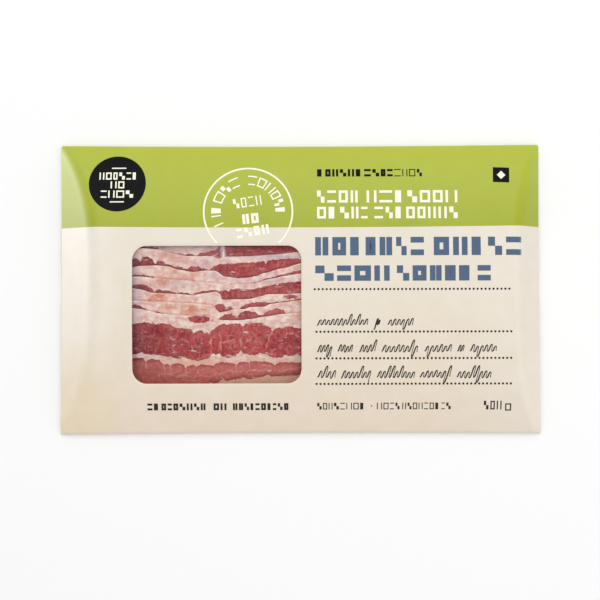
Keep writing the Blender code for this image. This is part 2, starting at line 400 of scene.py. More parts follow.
def varnished_print():
    """Litho print on coated board under a satin varnish: flat fields of colour with a faint
    fibre mottle, warmer towards the lower edge, more yellow at the lower left corner and paler at
    both ends, with a soft broad sheen on the slopes. The cream's pale left end and the green's
    lighter upper edge are painted highlights. The fibres are drawn coarse enough to show."""
    material, tree, place = new_material("litho print under satin varnish")
    spot = add_node(tree, "ShaderNodeSeparateXYZ", {0: place}).outputs
    fade = {}
    # Fades up the panel, towards the right end, towards the left end and towards the foot. The fade towards
    # the left end carries a painted highlight.
    for name, axis, start, end, most in (
            ("up", "Y", -WIDTH / 2, WIDTH / 2, 1.0), ("right", "X", 70, 115, 0.7),
            ("left", "X", -86, -106, 0.45), ("down", "Y", -20, -50, 1.0)):
        fade[name] = add_node(tree, "ShaderNodeMapRange", {
            "Value": spot[axis], "From Min": start * MM, "From Max": end * MM, "To Max": most})

    # The green field starts above a line that bows a little
    line = add_node(tree, "ShaderNodeMath", {0: spot["X"], 1: LENGTH / 2 * MM}, operation="DIVIDE")
    line = add_node(tree, "ShaderNodeMath", {0: line, 1: 2.0}, operation="POWER")
    line = add_node(tree, "ShaderNodeMath", {0: line, 1: BAND_CURVE * MM, 2: BAND_MIDDLE * MM},
                    operation="MULTIPLY_ADD")
    above = add_node(tree, "ShaderNodeMath", {0: spot["Y"], 1: line}, operation="GREATER_THAN")
    cream = set_ramp(add_node(tree, "ShaderNodeValToRGB", {"Fac": fade["up"]}), [
        (0.0, linear("#EDDDCA")), (0.35, linear("#E6DBC9")), (0.70, linear("#E5DDCF"))])
    # The green grows lighter towards its upper edge, a painted highlight of the light on the cushion's upper
    # side
    green = set_ramp(add_node(tree, "ShaderNodeValToRGB", {"Fac": fade["up"]}), [
        (0.70, linear("#A0AB0C")), (1.0, linear("#B4BF3A"))])
    # At the left end the cream turns paler towards the top, a painted highlight of the end slope's sheen, and
    # more yellow towards the lower corner
    corner = add_node(tree, "ShaderNodeMix",
                      {0: fade["down"], 6: linear("#F7F1E8"), 7: linear("#EAD8B4")}, data_type="RGBA")
    colour = cream.outputs[0]
    for share, shade in ((fade["right"], linear("#EAE2D6")), (fade["left"], corner.outputs[2]),
                         (above, green.outputs[0])):
        colour = add_node(tree, "ShaderNodeMix", {0: share, 6: colour, 7: shade}, data_type="RGBA").outputs[2]
    mottle = add_node(tree, "ShaderNodeTexNoise",
                      {"Vector": place, "Scale": 1 / (9 * MM), "Detail": 3.0, "Roughness": 0.55})
    tint = set_ramp(add_node(tree, "ShaderNodeValToRGB", {"Fac": mottle}), [
        (0.3, linear("#FBFAF6")), (0.7, linear("#FFFFFF"))])
    toned = add_node(tree, "ShaderNodeMix", {0: 1.0, 6: colour, 7: tint}, data_type="RGBA",
                     blend_type="MULTIPLY")
    fibre = add_node(tree, "ShaderNodeTexNoise",
                     {"Vector": place, "Scale": 1 / (0.8 * MM), "Detail": 4.0, "Roughness": 0.6})
    bump = add_node(tree, "ShaderNodeBump", {"Height": fibre, "Strength": 0.08, "Distance": 0.05 * MM})
    shader = add_node(tree, "ShaderNodeBsdfPrincipled", {
        "Base Color": toned.outputs[2], "Normal": bump, "Roughness": 0.37, "IOR": 1.5,
        "Specular IOR Level": 0.5})
    add_node(tree, "ShaderNodeOutputMaterial", {"Surface": shader})
    return material


window = spread(rounded_outline(WINDOW_LEFT, WINDOW_RIGHT, WINDOW_LOW, WINDOW_HIGH, WINDOW_CORNER,
                                WINDOW_CORNER_STEPS), FRONT_CELL)
lip = spread(rounded_outline(WINDOW_LEFT - LIP, WINDOW_RIGHT + LIP, WINDOW_LOW - LIP, WINDOW_HIGH + LIP,
                             WINDOW_CORNER + LIP, WINDOW_CORNER_STEPS), FRONT_CELL)
scattered = blank_points()
clear = depth_inside(window, scattered) < -LIP - CLEAR_OF_LIP
flat, triangles = triangulate(np.concatenate([scattered[clear], lip]), window)
middles = np.array([flat[list(face)].mean(0) for face in triangles])
kept = depth_inside(window, middles) < 0
board_faces = [face for face, keep in zip(triangles, kept) if keep]
x, y, read_y, share, own = fold_blank(flat[:, 0], flat[:, 1])
own = own - LIP_DROP * np.clip(1 + depth_inside(window, flat) / LIP, 0, 1)
blank = mesh_from("board", np.stack([x, y, own], -1), board_faces)
keep_values(blank, {"across": read_y * MM, "share": share})
board = link_object("board", blank)
print_material = varnished_print()
core_material = fibre_board("uncoated carton core", "#D9CCB8", 0.85)
raise_to_panel(board, 0.0, print_material)
freeze(board)
board.data.materials.append(core_material)
thicken = board.modifiers.new("board thickness", "SOLIDIFY")
thicken.thickness = BOARD * MM
thicken.offset = -1.0
thicken.material_offset = 1
thicken.material_offset_rim = 1
freeze(board)
smooth_with_edges(board, 40)
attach(board, "root")
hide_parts("sleeve")

# Print: solid litho inks laid on the board before it is folded. There are a round spot, a thin
# ring, a small square, rows of square-cut signs, dotted rules and wavering pen strokes.
INK_LIFT = 0.06
INK_CELL = 2.2
SIGN_GAP = 0.22
SIGN_KINDS = 5
SPOT = (-90.9, 52.35, 14.2)
SPOT_CELL = 1.3
RING = (-25.8, 38.0, 21.55, 22.4)
RING_STEPS = 180
RING_MARGIN = 0.5
PEN_WIDTH = 0.66
PEN_STEP = 0.12
PEN_PITCH = 2.25
PEN_SLANT = 0.3
PEN_LOOP = 0.12
PEN_SEED = 30
DOT_RADIUS = 0.56
DOT_PITCH = 1.96
DOT_SIDES = 12
DOTS = 50


def ink_material(name, code, roughness):
    """Solid litho ink on satin board: even, with a low sheen and the faintest mottle, which is
    drawn coarse enough to show."""
    material, tree, place = new_material(name)
    mottle = add_node(tree, "ShaderNodeTexNoise",
                      {"Vector": place, "Scale": 1 / (0.7 * MM), "Detail": 3.0, "Roughness": 0.6})
    full = linear(code)
    pale = tuple([min(1.0, share * 1.10 + 0.004) for share in full[:3]] + [1.0])
    tone = set_ramp(add_node(tree, "ShaderNodeValToRGB", {"Fac": mottle}), [(0.4, full), (0.75, pale)])
    shader = add_node(tree, "ShaderNodeBsdfPrincipled",
                      {"Base Color": tone, "Roughness": roughness, "Specular IOR Level": 0.12})
    add_node(tree, "ShaderNodeOutputMaterial", {"Surface": shader})
    return material


def sign_bars(left, right, low, high, stroke, kind):
    """Bars of one square-cut sign: a frame, two uprights, two staggered blocks, two bars or a block."""
    if kind == 0:
        return [(left, left + stroke, low, high), (right - stroke, right, low, high),
                (left + stroke, right - stroke, low, low + stroke),
                (left + stroke, right - stroke, high - stroke, high)]
    if kind == 1:
        return [(left, left + stroke, low, high), (right - stroke, right, low, high)]
    if kind == 2:
        across = (left + right) / 2
        middle = (low + high) / 2
        return [(left, across, middle, high), (across, right, low, middle)]
    if kind == 3:
        return [(left, right, low, low + stroke), (left, right, high - stroke, high)]
    return [(left, (left + right + stroke) / 2, low, high)]


def sign_row(left, right, low, high, count, stroke, seed):
    """Bars of a row of signs of uneven width between two X and two Y."""
    draw = np.random.default_rng(seed)
    gap = SIGN_GAP * (high - low)
    widths = draw.uniform(0.8, 1.2, count)
    widths = widths / widths.sum() * (right - left - gap * (count - 1))
    kinds = draw.permutation(np.arange(count) % SIGN_KINDS)
    bars = []
    for width, kind in zip(widths, kinds):
        bars += sign_bars(left, left + width, low, high, stroke, kind)
        left += width + gap
    return bars


def bar_grid(bars, mould=None):
    """Points and faces of bars, cut into cells small enough to follow the panel's curve."""
    points = []
    faces = []
    for left, right, low, high in bars:
        wide = max(1, math.ceil((right - left) / INK_CELL))
        tall = max(1, math.ceil((high - low) / INK_CELL))
        first = len(points)
        for step in range(wide + 1):
            for rise in range(tall + 1):
                points.append((left + (right - left) * step / wide, low + (high - low) * rise / tall))
        faces += grid_faces(wide + 1, tall + 1, first)
    placed = np.array(points)
    return (mould(placed) if mould else placed), faces


def join_shapes(shapes):
    """One list of points and one of faces from several flat shapes."""
    points = []
    faces = []
    total = 0
    for shape_points, shape_faces in shapes:
        points.append(np.asarray(shape_points))
        faces += [tuple(corner + total for corner in face) for face in shape_faces]
        total += len(shape_points)
    return np.concatenate(points), faces


def sign_rows(rows, bars=()):
    """One shape from several level rows of signs and a few plain bars."""
    return join_shapes([bar_grid(sign_row(*row)) for row in rows] + [bar_grid([bar]) for bar in bars])


def round_spot(x, y, radius, cell):
    """Points and triangles of a filled circle."""
    steps = round(2 * math.pi * radius / cell)
    angles = [2 * math.pi * step / steps for step in range(steps)]
    outline = [(x + radius * math.cos(angle), y + radius * math.sin(angle)) for angle in angles]
    inner = np.arange(-radius, radius, cell)
    grid = np.stack(np.meshgrid(inner, inner), -1).reshape(-1, 2)
    grid = grid[np.hypot(grid[:, 0], grid[:, 1]) < radius - cell * 0.6] + (x, y)
    return triangulate(grid, outline)


def ring_part(x, y, inner, outer):
    """Points and faces of the thin ring, left out where the window is cut away."""
    points = []
    faces = []
    for step in range(RING_STEPS):
        here, after = 2 * math.pi * step / RING_STEPS, 2 * math.pi * (step + 1) / RING_STEPS
        corners = np.array([
            (x + radius * math.cos(angle), y + radius * math.sin(angle))
            for angle, radius in ((here, inner), (here, outer), (after, outer), (after, inner))])
        if (depth_inside(window, corners) < -RING_MARGIN).all():
            faces.append(tuple(range(len(points), len(points) + 4)))
            points += corners.tolist()
    return np.array(points), faces


def bend_round(x, y, start):
    """A mould that bends a row, drawn level from X 0, clockwise round a point from an angle."""
    def mould(points):
        radius = points[:, 1]
        middle = (radius.max() + radius.min()) / 2
        angle = math.radians(start) - points[:, 0] / middle
        return np.stack([x + radius * np.cos(angle), y + radius * np.sin(angle)], -1)
    return mould


def turn_row(x, y, degrees):
    """A mould that turns a row about a point."""
    cosine, sine = math.cos(math.radians(degrees)), math.sin(math.radians(degrees))

    def mould(points):
        dx, dy = points[:, 0] - x, points[:, 1] - y
        return np.stack([x + cosine * dx - sine * dy, y + sine * dx + cosine * dy], -1)
    return mould


def pen_run(left, right, base, height, seed):
    """A ribbon that wavers like joined-up pen strokes between two X."""
    draw = np.random.default_rng(seed)
    strokes = max(2, round((right - left) / PEN_PITCH))

    # One stroke in five is a tall one, and a few drop below the line
    tops = draw.uniform(0.75, 1.05, strokes + 1)
    tall = draw.random(strokes + 1) < 0.2
    tops = np.where(tall, 1.7, tops)
    floors = np.where(draw.random(strokes + 1) < 0.07, -0.7, draw.uniform(-0.04, 0.12, strokes + 1))

    # A sine wave climbs and falls once a stroke, slants to the right and loops a little
    t = np.linspace(0, strokes, round(strokes * PEN_PITCH / PEN_STEP), endpoint=False)
    part = t % 1
    number = t.astype(int)
    climb = 0.5 - 0.5 * np.cos(2 * math.pi * part)
    floor_level = np.where(part < 0.5, floors[number], floors[number + 1])
    y = height * (floor_level + (tops[number] - floor_level) * climb)
    reach = right - left - PEN_SLANT * height
    x = left + reach * t / strokes + PEN_SLANT * y + PEN_LOOP * np.sin(4 * math.pi * part)
    y = y + base

    # The ribbon lies on both sides of that line and is wider in the middle of a stroke
    along = np.stack([np.gradient(x), np.gradient(y)], -1)
    along /= np.linalg.norm(along, axis=1)[:, None]
    half = PEN_WIDTH / 2 * (0.75 + 0.25 * np.sin(2 * math.pi * part))
    across = np.stack([-along[:, 1], along[:, 0]], -1) * half[:, None]
    line = np.stack([x, y], -1)
    points = np.concatenate([line + across, line - across])
    count = len(line)
    faces = [(count + i, count + i + 1, i + 1, i) for i in range(count - 1)]
    return points, faces


def lay_ink(name, points, faces, material, lift=INK_LIFT):
    """Lays flat ink shapes on the front panel."""
    mesh = mesh_from(name, np.column_stack([points, np.zeros(len(points))]), faces)
    keep_values(mesh, {"across": points[:, 1] * MM, "share": np.ones(len(points))})
    item = link_object(name, mesh)
    raise_to_panel(item, lift, material)
    freeze(item)
    item.data.shade_smooth()
    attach(item, "root")
    return item


white_ink = ink_material("opaque white litho ink", "#FBF9E2", 0.45)
slate_ink = ink_material("slate blue litho ink", "#526680", 0.50)
black_ink = ink_material("black litho ink", "#080809", 0.60)
pen_ink = ink_material("black line litho ink", "#2E2A26", 0.50)

# Rows of signs: left, right, low, high, how many, stroke and seed. Bars: left, right, low, high.
lay_ink("round_spot", *round_spot(*SPOT, SPOT_CELL), black_ink)
lay_ink("spot_rows", *sign_rows([
    (-99.9, -81.0, 54.4, 58.1, 6, 0.68, 1), (-94.2, -87.4, 49.9, 53.5, 2, 0.68, 2),
    (-99.0, -82.9, 45.1, 48.8, 4, 0.68, 3),
], [(-93.8, -86.7, 60.0, 60.6), (-94.4, -87.4, 42.7, 43.3)]), white_ink, 2 * INK_LIFT)
ring_x, ring_y = RING[:2]
lay_ink("ring", *join_shapes([
    ring_part(*RING),
    bar_grid(sign_row(0.0, 27.5, 13.5, 18.3, 5, 0.66, 4), bend_round(ring_x, ring_y, 206)),
    bar_grid(sign_row(0.0, 26.5, 13.5, 18.3, 6, 0.66, 5), bend_round(ring_x, ring_y, 90)),
    bar_grid(sign_row(-33.2, -19.2, 40.3, 45.2, 4, 0.6, 6), turn_row(-26.2, 42.7, 9)),
    bar_grid(sign_row(-28.6, -20.6, 31.9, 36.9, 2, 1.4, 7), turn_row(-24.6, 34.4, 6)),
    bar_grid(sign_row(-31.6, -15.4, 25.6, 30.4, 4, 1.3, 8), turn_row(-23.5, 28.0, 9)),
]), white_ink)
lay_ink("head_row", *sign_rows([
    (8.5, 46.2, 55.7, 59.5, 10, 1.1, 9), (46.9, 60.7, 55.7, 59.5, 4, 0.45, 10)]), black_ink)
lay_ink("corner_square", *bar_grid([(96.1, 104.2, 52.5, 60.2)], turn_row(100.2, 56.3, -2)), black_ink)
lay_ink("corner_diamond", *bar_grid([(98.7, 101.7, 54.8, 57.8)], turn_row(100.2, 56.3, 43)),
        white_ink, 2 * INK_LIFT)
lay_ink("white_rows", *sign_rows([
    (8.4, 28.6, 42.3, 48.5, 4, 1.25, 11), (33.0, 78.0, 42.3, 48.5, 7, 1.25, 12),
    (8.4, 33.4, 34.3, 40.2, 5, 1.2, 13), (36.8, 78.0, 34.3, 40.2, 8, 1.2, 14)]), white_ink)
lay_ink("slate_rows", *sign_rows([
    (7.4, 61.1, 15.9, 25.0, 7, 2.85, 15), (66.0, 109.4, 15.9, 25.0, 5, 2.85, 16),
    (7.4, 44.1, 3.3, 10.9, 4, 2.75, 17), (47.7, 94.0, 3.3, 10.9, 6, 2.75, 18)]), slate_ink)
lay_ink("foot_rows", *sign_rows([
    (-76.0, -47.2, -60.4, -57.0, 9, 1.0, 19), (-43.2, -36.8, -60.4, -57.0, 2, 1.0, 20),
    (-33.6, -6.1, -60.4, -57.0, 10, 1.0, 21), (8.2, 32.1, -60.2, -56.9, 8, 0.45, 22),
    (37.8, 49.0, -60.2, -56.9, 4, 0.45, 23), (50.4, 74.4, -60.2, -56.9, 9, 0.45, 24),
    (90.8, 99.6, -60.4, -56.1, 3, 0.6, 25), (101.4, 104.4, -61.0, -57.4, 1, 0.6, 26),
], [(34.8, 35.4, -58.8, -58.2)]), pen_ink)

# Pen strokes: the height of each line, the height of its strokes and the X where each run starts
# and ends
PEN_LINES = [
    (-18.6, 3.2, [(8.2, 34.1), (36.8, 39.9), (42.9, 56.5)]),
    (-31.8, 3.5, [(8.2, 16.5), (18.2, 26.5), (29.0, 37.8), (39.9, 58.8), (61.1, 75.4), (77.3, 81.4),
                  (83.5, 97.7)]),
    (-44.6, 3.5, [(8.2, 18.2), (20.0, 35.5), (37.6, 57.3), (58.8, 74.8), (77.0, 95.1)]),
]
pen_runs = [pen_run(left, right, base, height, PEN_SEED + 10 * row + place)
            for row, (base, height, runs) in enumerate(PEN_LINES)
            for place, (left, right) in enumerate(runs)]
lay_ink("pen_lines", *join_shapes(pen_runs), pen_ink)


def dotted_tree():
    """Node tree that sets a row of small round dots at an even pitch."""
    tree, inlet = new_tree("dotted rule", ("Start X", "Start Y", "Pitch", "Radius"), ["Count"])
    start = add_node(tree, "ShaderNodeCombineXYZ", {"X": inlet["Start X"], "Y": inlet["Start Y"]})
    step = add_node(tree, "ShaderNodeCombineXYZ", {"X": inlet["Pitch"]})
    line = add_node(tree, "GeometryNodeMeshLine",
                    {"Count": inlet["Count"], "Start Location": start, "Offset": step})
    dot = add_node(tree, "GeometryNodeMeshCircle", {"Radius": inlet["Radius"], "Vertices": DOT_SIDES},
                   fill_type="NGON")
    dots = add_node(tree, "GeometryNodeInstanceOnPoints", {"Points": line, "Instance": dot})

    # The dots are made real first, so that each point gives its own Y
    real = add_node(tree, "GeometryNodeRealizeInstances", {"Geometry": dots})
    place = add_node(tree, "ShaderNodeSeparateXYZ", {0: add_node(tree, "GeometryNodeInputPosition")})
    read = add_node(tree, "GeometryNodeStoreNamedAttribute",
                    {"Geometry": real, "Name": "across", "Value": place.outputs["Y"]}, data_type="FLOAT")
    whole = add_node(tree, "GeometryNodeStoreNamedAttribute",
                     {"Geometry": read, "Name": "share", "Value": 1.0}, data_type="FLOAT")
    close_tree(tree, whole, inlet["Material"])
    return tree


dotted_rule = dotted_tree()
for rule_number, (rule_x, rule_y) in enumerate([(7.1, -0.8), (7.9, -21.8), (7.9, -34.9), (7.9, -47.5)]):
    rule = link_object(f"dotted_rule_{rule_number + 1}", bpy.data.meshes.new("dotted_rule"))
    add_tree(rule, dotted_rule, {"Start X": rule_x * MM, "Start Y": rule_y * MM, "Pitch": DOT_PITCH * MM,
                                 "Radius": DOT_RADIUS * MM, "Count": DOTS, "Material": pen_ink})
    raise_to_panel(rule, INK_LIFT, pen_ink)
    freeze(rule)
    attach(rule, "root")

# Back print: rows of small dark signs and ruled lines on the underside, as such packs carry. It
# is the same line ink as on the front, laid with the rest before the board is folded.
BACK_LIFT = -0.05
BACK_ROWS = 9
BACK_TOP = -18.0
BACK_PITCH = 4.6
BACK_HEIGHT = 2.0
BACK_STROKE = 0.35
BACK_LEFT = 8.0
BACK_LENGTH = 60.0
BACK_SIGN = 2.2

back_rows = []
back_bars = []
for row in range(BACK_ROWS):
    low = BACK_TOP - BACK_PITCH * row
    right = BACK_LEFT + BACK_LENGTH * (0.70 + 0.28 * math.sin(row * 2.1))
    for left, end, count, seed in ((BACK_LEFT, right, round((right - BACK_LEFT) / BACK_SIGN), 70),
                                   (-97.0, -70.0, 11, 90), (-28.0, -14.0, 5, 110)):
        back_rows.append((left, end, low, low + BACK_HEIGHT, count, BACK_STROKE, seed + row))
    back_bars.append((-98.0, -12.0, low - 1.2, low - 0.9))
back_points, back_faces = sign_rows(back_rows, back_bars)
back_print = link_object("back_print", mesh_from(
    "back_print", np.column_stack([back_points, np.full(len(back_points), BACK_LIFT)]),
    [face[::-1] for face in back_faces]))
back_print.data.materials.append(pen_ink)
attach(back_print, "root")

# End flaps: the glue flaps of the same board, tucked between the two panels at each end, where
# they show as the middle layer of the pressed edge.
FLAP_LOW = 0.49
FLAP_THICKNESS = 0.36
FLAP_OUT = 119.1
FLAP_IN = 106.0
FLAP_HALF = 65.0
FLAP_TAPER = 5.0
FLAP_STEPS = 12

flap_points = []
flap_faces = []
for side in (-1, 1):
    first = len(flap_points)
    for level in (FLAP_LOW, FLAP_LOW + FLAP_THICKNESS):
        for step in range(FLAP_STEPS + 1):
            along = 2 * step / FLAP_STEPS - 1
            flap_points.append((side * FLAP_OUT, along * FLAP_HALF, level))
            flap_points.append((side * FLAP_IN, along * (FLAP_HALF - FLAP_TAPER), level))
    layer = 2 * (FLAP_STEPS + 1)
    for step in range(FLAP_STEPS):
        a = first + 2 * step
        flap_faces += [(a, a + 2, a + 3, a + 1), (a + layer, a + layer + 1, a + layer + 3, a + layer + 2),
                       (a, a + layer, a + layer + 2, a + 2), (a + 1, a + 3, a + layer + 3, a + layer + 1)]
    last = first + layer - 2
    flap_faces += [(first, first + 1, first + layer + 1, first + layer),
                   (last, last + layer, last + layer + 1, last + 1)]
flaps = link_object("end_flaps", mesh_from("end_flaps", flap_points, flap_faces))
fix = bmesh.new()
fix.from_mesh(flaps.data)
bmesh.ops.recalc_face_normals(fix, faces=fix.faces)
fix.to_mesh(flaps.data)
fix.free()
flaps.data.materials.append(core_material)
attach(flaps, "root")

# Rashers: slices of cured pork belly 1.6 mm thick, fanned so that each shows its upper edge past
# the one on top. Each has a band of back fat along its upper edge, then lean, fat and lean again.
RASHERS = 12
RASHERS_LEFT = -98.0
RASHERS_RIGHT = 104.0
RASHER_WIDTH = 37.4
RASHER_THICKNESS = 1.6
GAP = 0.3
FLOOR = 0.8
LAYER = RASHER_THICKNESS + GAP
FAN_LOW = -50.6
FAN_PITCH = 6.1
FAN_BOW = 2.6
BOW_WAVELENGTH = 110.0
BOW_CREST = -85.0
EDGE_WAVE = 0.3
EDGE_WAVELENGTH = 62.0
SWELL = 0.15
SWELL_WAVELENGTH = 90.0
END_STAGGER = 2.5
STAGGER_CYCLE = 5
LEFT_STAGGER_STEP = 3
RIGHT_STAGGER_STEP = 2
GOLDEN_TURN = math.pi * (3 - math.sqrt(5))
ROUNDING = 0.55
FINE = 0.6
COARSE = 5.0
SHOWN_DEPTH = 11.5
ROUND_STEPS = (0.0, 0.06, 0.16, 0.3, 0.5)
FAR = 9.0
LEAN_RISE = 0.07
LEAN_SLOPE = 0.8
SLICE_SWELL = 0.07
SLICE_GRAIN = 0.03
ROSY_TOP = -34.0
ROSY_FADE = 3.0
WINDOW_FADE = 6.0

# Upper edge of each rasher inside the window, from left to right
UPPER_EDGES = [
    [(-84, -9.6), (-79, -10.2), (-75, -11.0), (-69.5, -12.4), (-63, -13.0), (-55.5, -13.5), (-46, -13.8),
     (-44, -14.3), (-41.5, -15.4), (-38, -15.8), (-30, -15.9), (-25, -15.3), (-18, -14.2), (-8.6, -12.8),
     (0.5, -12.3)],
    [(-84, -5.8), (-69, -6.6), (-55.5, -7.3), (-46, -8.0), (-43, -8.4), (-41.3, -10.8), (-40, -11.9),
     (-37, -11.5), (-33, -10.4), (-28, -10.4), (-24.8, -9.4), (-18, -9.2), (-14.5, -7.8), (-9, -7.1),
     (0.5, -6.0)],
    [(-84, 0.2), (-80, -0.3), (-73, -2.1), (-66, -2.5), (-60.5, -2.8), (-53.6, -3.4), (-47, -2.4),
     (-41.5, -1.7), (-39.8, -2.8), (-38.6, -5.6), (-30.3, -5.5), (-25.5, -5.4), (-20, -4.1), (-16, -3.0),
     (-7, -2.9), (0.5, -2.5)],
    [(-84, 6.0), (-79, 5.9), (-72, 5.2), (-60, 4.2), (-42, 2.5), (-33, 2.1), (-25, 2.0), (-14, 4.7),
     (-7.6, 6.0), (0.5, 7.2)],
    [(-84, 10.4), (-79.5, 11.2), (-72, 11.4), (-66, 11.0), (-60, 9.2), (-53, 8.1), (-47, 8.8), (-42.2, 8.7),
     (-37.5, 5.9), (-31, 4.9), (-25.5, 5.3), (-22, 6.0), (-18, 7.5), (-9, 9.8), (0.5, 12.2)],
    [(-84, 20.3), (-78, 20.0), (-70, 19.4), (-64, 17.6), (-60.5, 16.7), (-55.5, 16.0), (-44, 16.0),
     (-40.5, 14.7), (-37.5, 15.6), (-25, 15.9), (-14, 16.6), (0.5, 18.0)],
]

# Upper border of the lean that shows just above the next rasher's edge, for the second rasher on.
# Where it dips below that edge, only fat shows.
LEAN_LINES = [
    [(-84, -8.3), (-82, -7.8), (-79.5, -8.4), (-77, -9.8), (-75.5, -11.3), (-72, -11.3), (-68, -12.2),
     (-65, -14.2), (-46, -15.5), (-41.5, -16.5), (-39.6, -14.0), (-37, -12.8), (-34, -12.7), (-32.4, -13.6),
     (-31.4, -14.9), (-30.6, -13.0), (-28.5, -11.6), (-26, -11.0), (-23, -11.6), (-21, -13.1),
     (-18.6, -13.4), (-17.4, -12.1), (-15, -10.8), (-11.6, -10.0), (-8.5, -10.6), (-7, -13.0), (0.5, -14.0)],
    [(-84, -8.6), (-46, -9.5), (-43.2, -9.2), (-42, -8.4), (-40, -7.5), (-38.5, -7.7), (-37.2, -8.6),
     (-36.6, -9.8), (-35.4, -9.1), (-34.0, -9.4), (-32.5, -10.8), (-30.2, -10.2), (-29, -8.9),
     (-26.5, -7.6), (-22, -6.9), (-17, -6.9), (-15, -7.6), (-11, -6.9), (-5, -6.0), (0.5, -5.1)],
    [(-84, 1.8), (-78.5, 2.0), (-74, 0.6), (-72.3, -1.6), (-70.5, -0.4), (-66, -0.9), (-62.5, -1.8),
     (-61.3, -3.0), (-60, -1.9), (-55, -2.4), (-53.5, -3.3), (-52, -2.1), (-47, -1.2), (-43, -0.9),
     (-41.2, -1.2), (-38, -1.2), (-36.6, -0.9), (-35.7, -1.4), (-34.2, -0.5), (-30, -0.4), (-25, -0.8),
     (-22, -0.2), (-16.5, 1.1), (-12.2, 1.9), (-11.4, 1.0), (-10.3, 2.5), (-5, 3.1), (0.5, 3.4)],
    [(-84, 6.8), (-79, 6.7), (-73, 6.0), (-71.5, 4.4), (-60, 3.4), (-43, 1.6), (-36, 2.5), (-33, 2.3),
     (-30, 1.4), (-25, 1.6), (-22, 3.2), (-14, 5.5), (-9, 6.6), (-6, 7.6), (0.5, 8.9)],
    [(-84, 14.4), (-82, 15.2), (-80.2, 14.7), (-79.6, 13.0), (-78.5, 15.2), (-76, 15.7), (-73.5, 14.7),
     (-71.9, 12.2), (-70.3, 13.8), (-68, 13.6), (-66, 12.0), (-60, 10.6), (-56, 9.6), (-54.3, 11.1),
     (-50.7, 11.1), (-49.0, 10.0), (-45.3, 9.3), (-43.6, 10.4), (-42.2, 11.2), (-39, 12.0),
     (-35.3, 12.2), (-30, 12.6), (-25, 12.8), (-18.5, 13.3), (-17.6, 12.9), (-16.9, 11.6), (-16.2, 13.4),
     (-13, 14.0), (-6.6, 14.5), (0.5, 14.8)],
    [(-84, 20.4), (-78, 20.9), (-71, 20.4), (-69, 18.2), (-62, 16.4), (-60, 17.2), (-55, 17.2),
     (-51.5, 16.4), (-49.4, 17.6), (-46, 18.2), (-42.5, 19.0), (-41, 20.0), (-40.2, 21.5), (0.5, 23.0)],
]

# Borders on the rasher that lies on top: the upper and lower border of its wide lean band, the
# upper border of its second lean band and the line where its last strip of fat starts
WIDE_TOP = [
    (-84, -17.6), (-80, -17.2), (-76.5, -16.6), (-73, -16.9), (-71.5, -17.9), (-68, -17.3), (-65, -17.9),
    (-61, -19.5), (-57, -19.8), (-54, -20.3), (-53, -22.4), (-51.5, -21.2), (-49, -20.8), (-47.6, -22.2),
    (-46.4, -21.8), (-45.2, -22.4), (-43.8, -20.6), (-40.2, -18.5), (-37.5, -17.7), (-36.2, -18.4),
    (-34, -17.5), (-30.2, -17.3), (-28.8, -19.0), (-27, -17.8), (-24.5, -17.2), (-20, -17.2),
    (-17, -18.1), (-15, -19.4), (-13.9, -21.2), (-12.4, -20.1), (-9.5, -19.3), (-6, -19.0), (0.5, -20.0),
]
WIDE_LOW = [
    (-84, -32.6), (-80.5, -32.2), (-79.3, -31.3), (-78, -32.4), (-70, -33.0), (-65, -33.9), (-61, -34.9),
    (-58.5, -34.1), (-55, -35.4), (-50.5, -35.8), (-46, -34.9), (-44.5, -33.2), (-43.4, -32.3),
    (-42, -33.2), (-40.3, -32.2), (-39, -33.8), (-36.8, -34.5), (-33, -33.6), (-31, -32.4),
    (-29.7, -31.1), (-28.2, -32.5), (-25, -33.4), (-22.5, -33.1), (-20, -32.3), (-17, -32.8),
    (-14, -34.3), (-9, -34.4), (-8.1, -33.0), (-6.5, -33.6), (-3, -33.3), (-1.8, -32.3), (0.5, -34.1),
]
SECOND_TOP = [
    (-84, -34.8), (-81, -34.2), (-78.5, -34.3), (-77, -36.2), (-76, -35.1), (-73.5, -34.7), (-70.5, -35.3),
    (-68.2, -37.8), (-66.3, -37.0), (-64.8, -38.0), (-63, -37.1), (-60.5, -36.9), (-58, -38.0),
    (-57.1, -39.6), (-56.3, -38.0), (-53, -37.7), (-51.9, -38.6), (-49.5, -37.7), (-45, -37.9),
    (-43.3, -38.6), (-41.8, -37.0), (-39, -36.5), (-35, -36.8), (-32.0, -37.7), (-30, -36.3),
    (-26.3, -36.2), (-25.6, -36.9), (-24.8, -36.0), (-18, -36.3), (-14.5, -36.7), (-12.8, -38.6),
    (-11.8, -37.2), (-9.5, -36.5), (0.5, -36.9),
]
LAST_FAT = [
    (-84, -55.0), (-50, -53.0), (-46.5, -49.0), (-45.3, -46.4), (-43.5, -47.2), (-41, -46.6), (-39.2, -44.8),
    (-36.8, -46.3), (-34.5, -45.3), (-29, -44.5), (-25, -45.2), (-20, -44.1), (-16.2, -42.9),
    (-14.5, -43.9), (-8, -43.5), (0.5, -42.9),
]

# Borders of the two lean bands where no line is traced: how far below the upper edge, how far
# they wander, over what length, and the seed
LEAN_BORDERS = [(6.2, 0.8, 21.0, 40), (20.8, 0.8, 17.0, 60), (24.4, 0.7, 13.0, 80), (33.0, 0.6, 9.0, 90)]
LEAN_LEAST = 12.0
BORDER_WOBBLE = 0.25
TRACED_WOBBLE = 0.4

# Islands of lean in the fat: the rasher's number, X, Y, half length and half width
LEAN_ISLANDS = [(0, -49.8, -15.4, 6.0, 1.75), (2, -5.0, -4.3, 3.6, 1.15)]

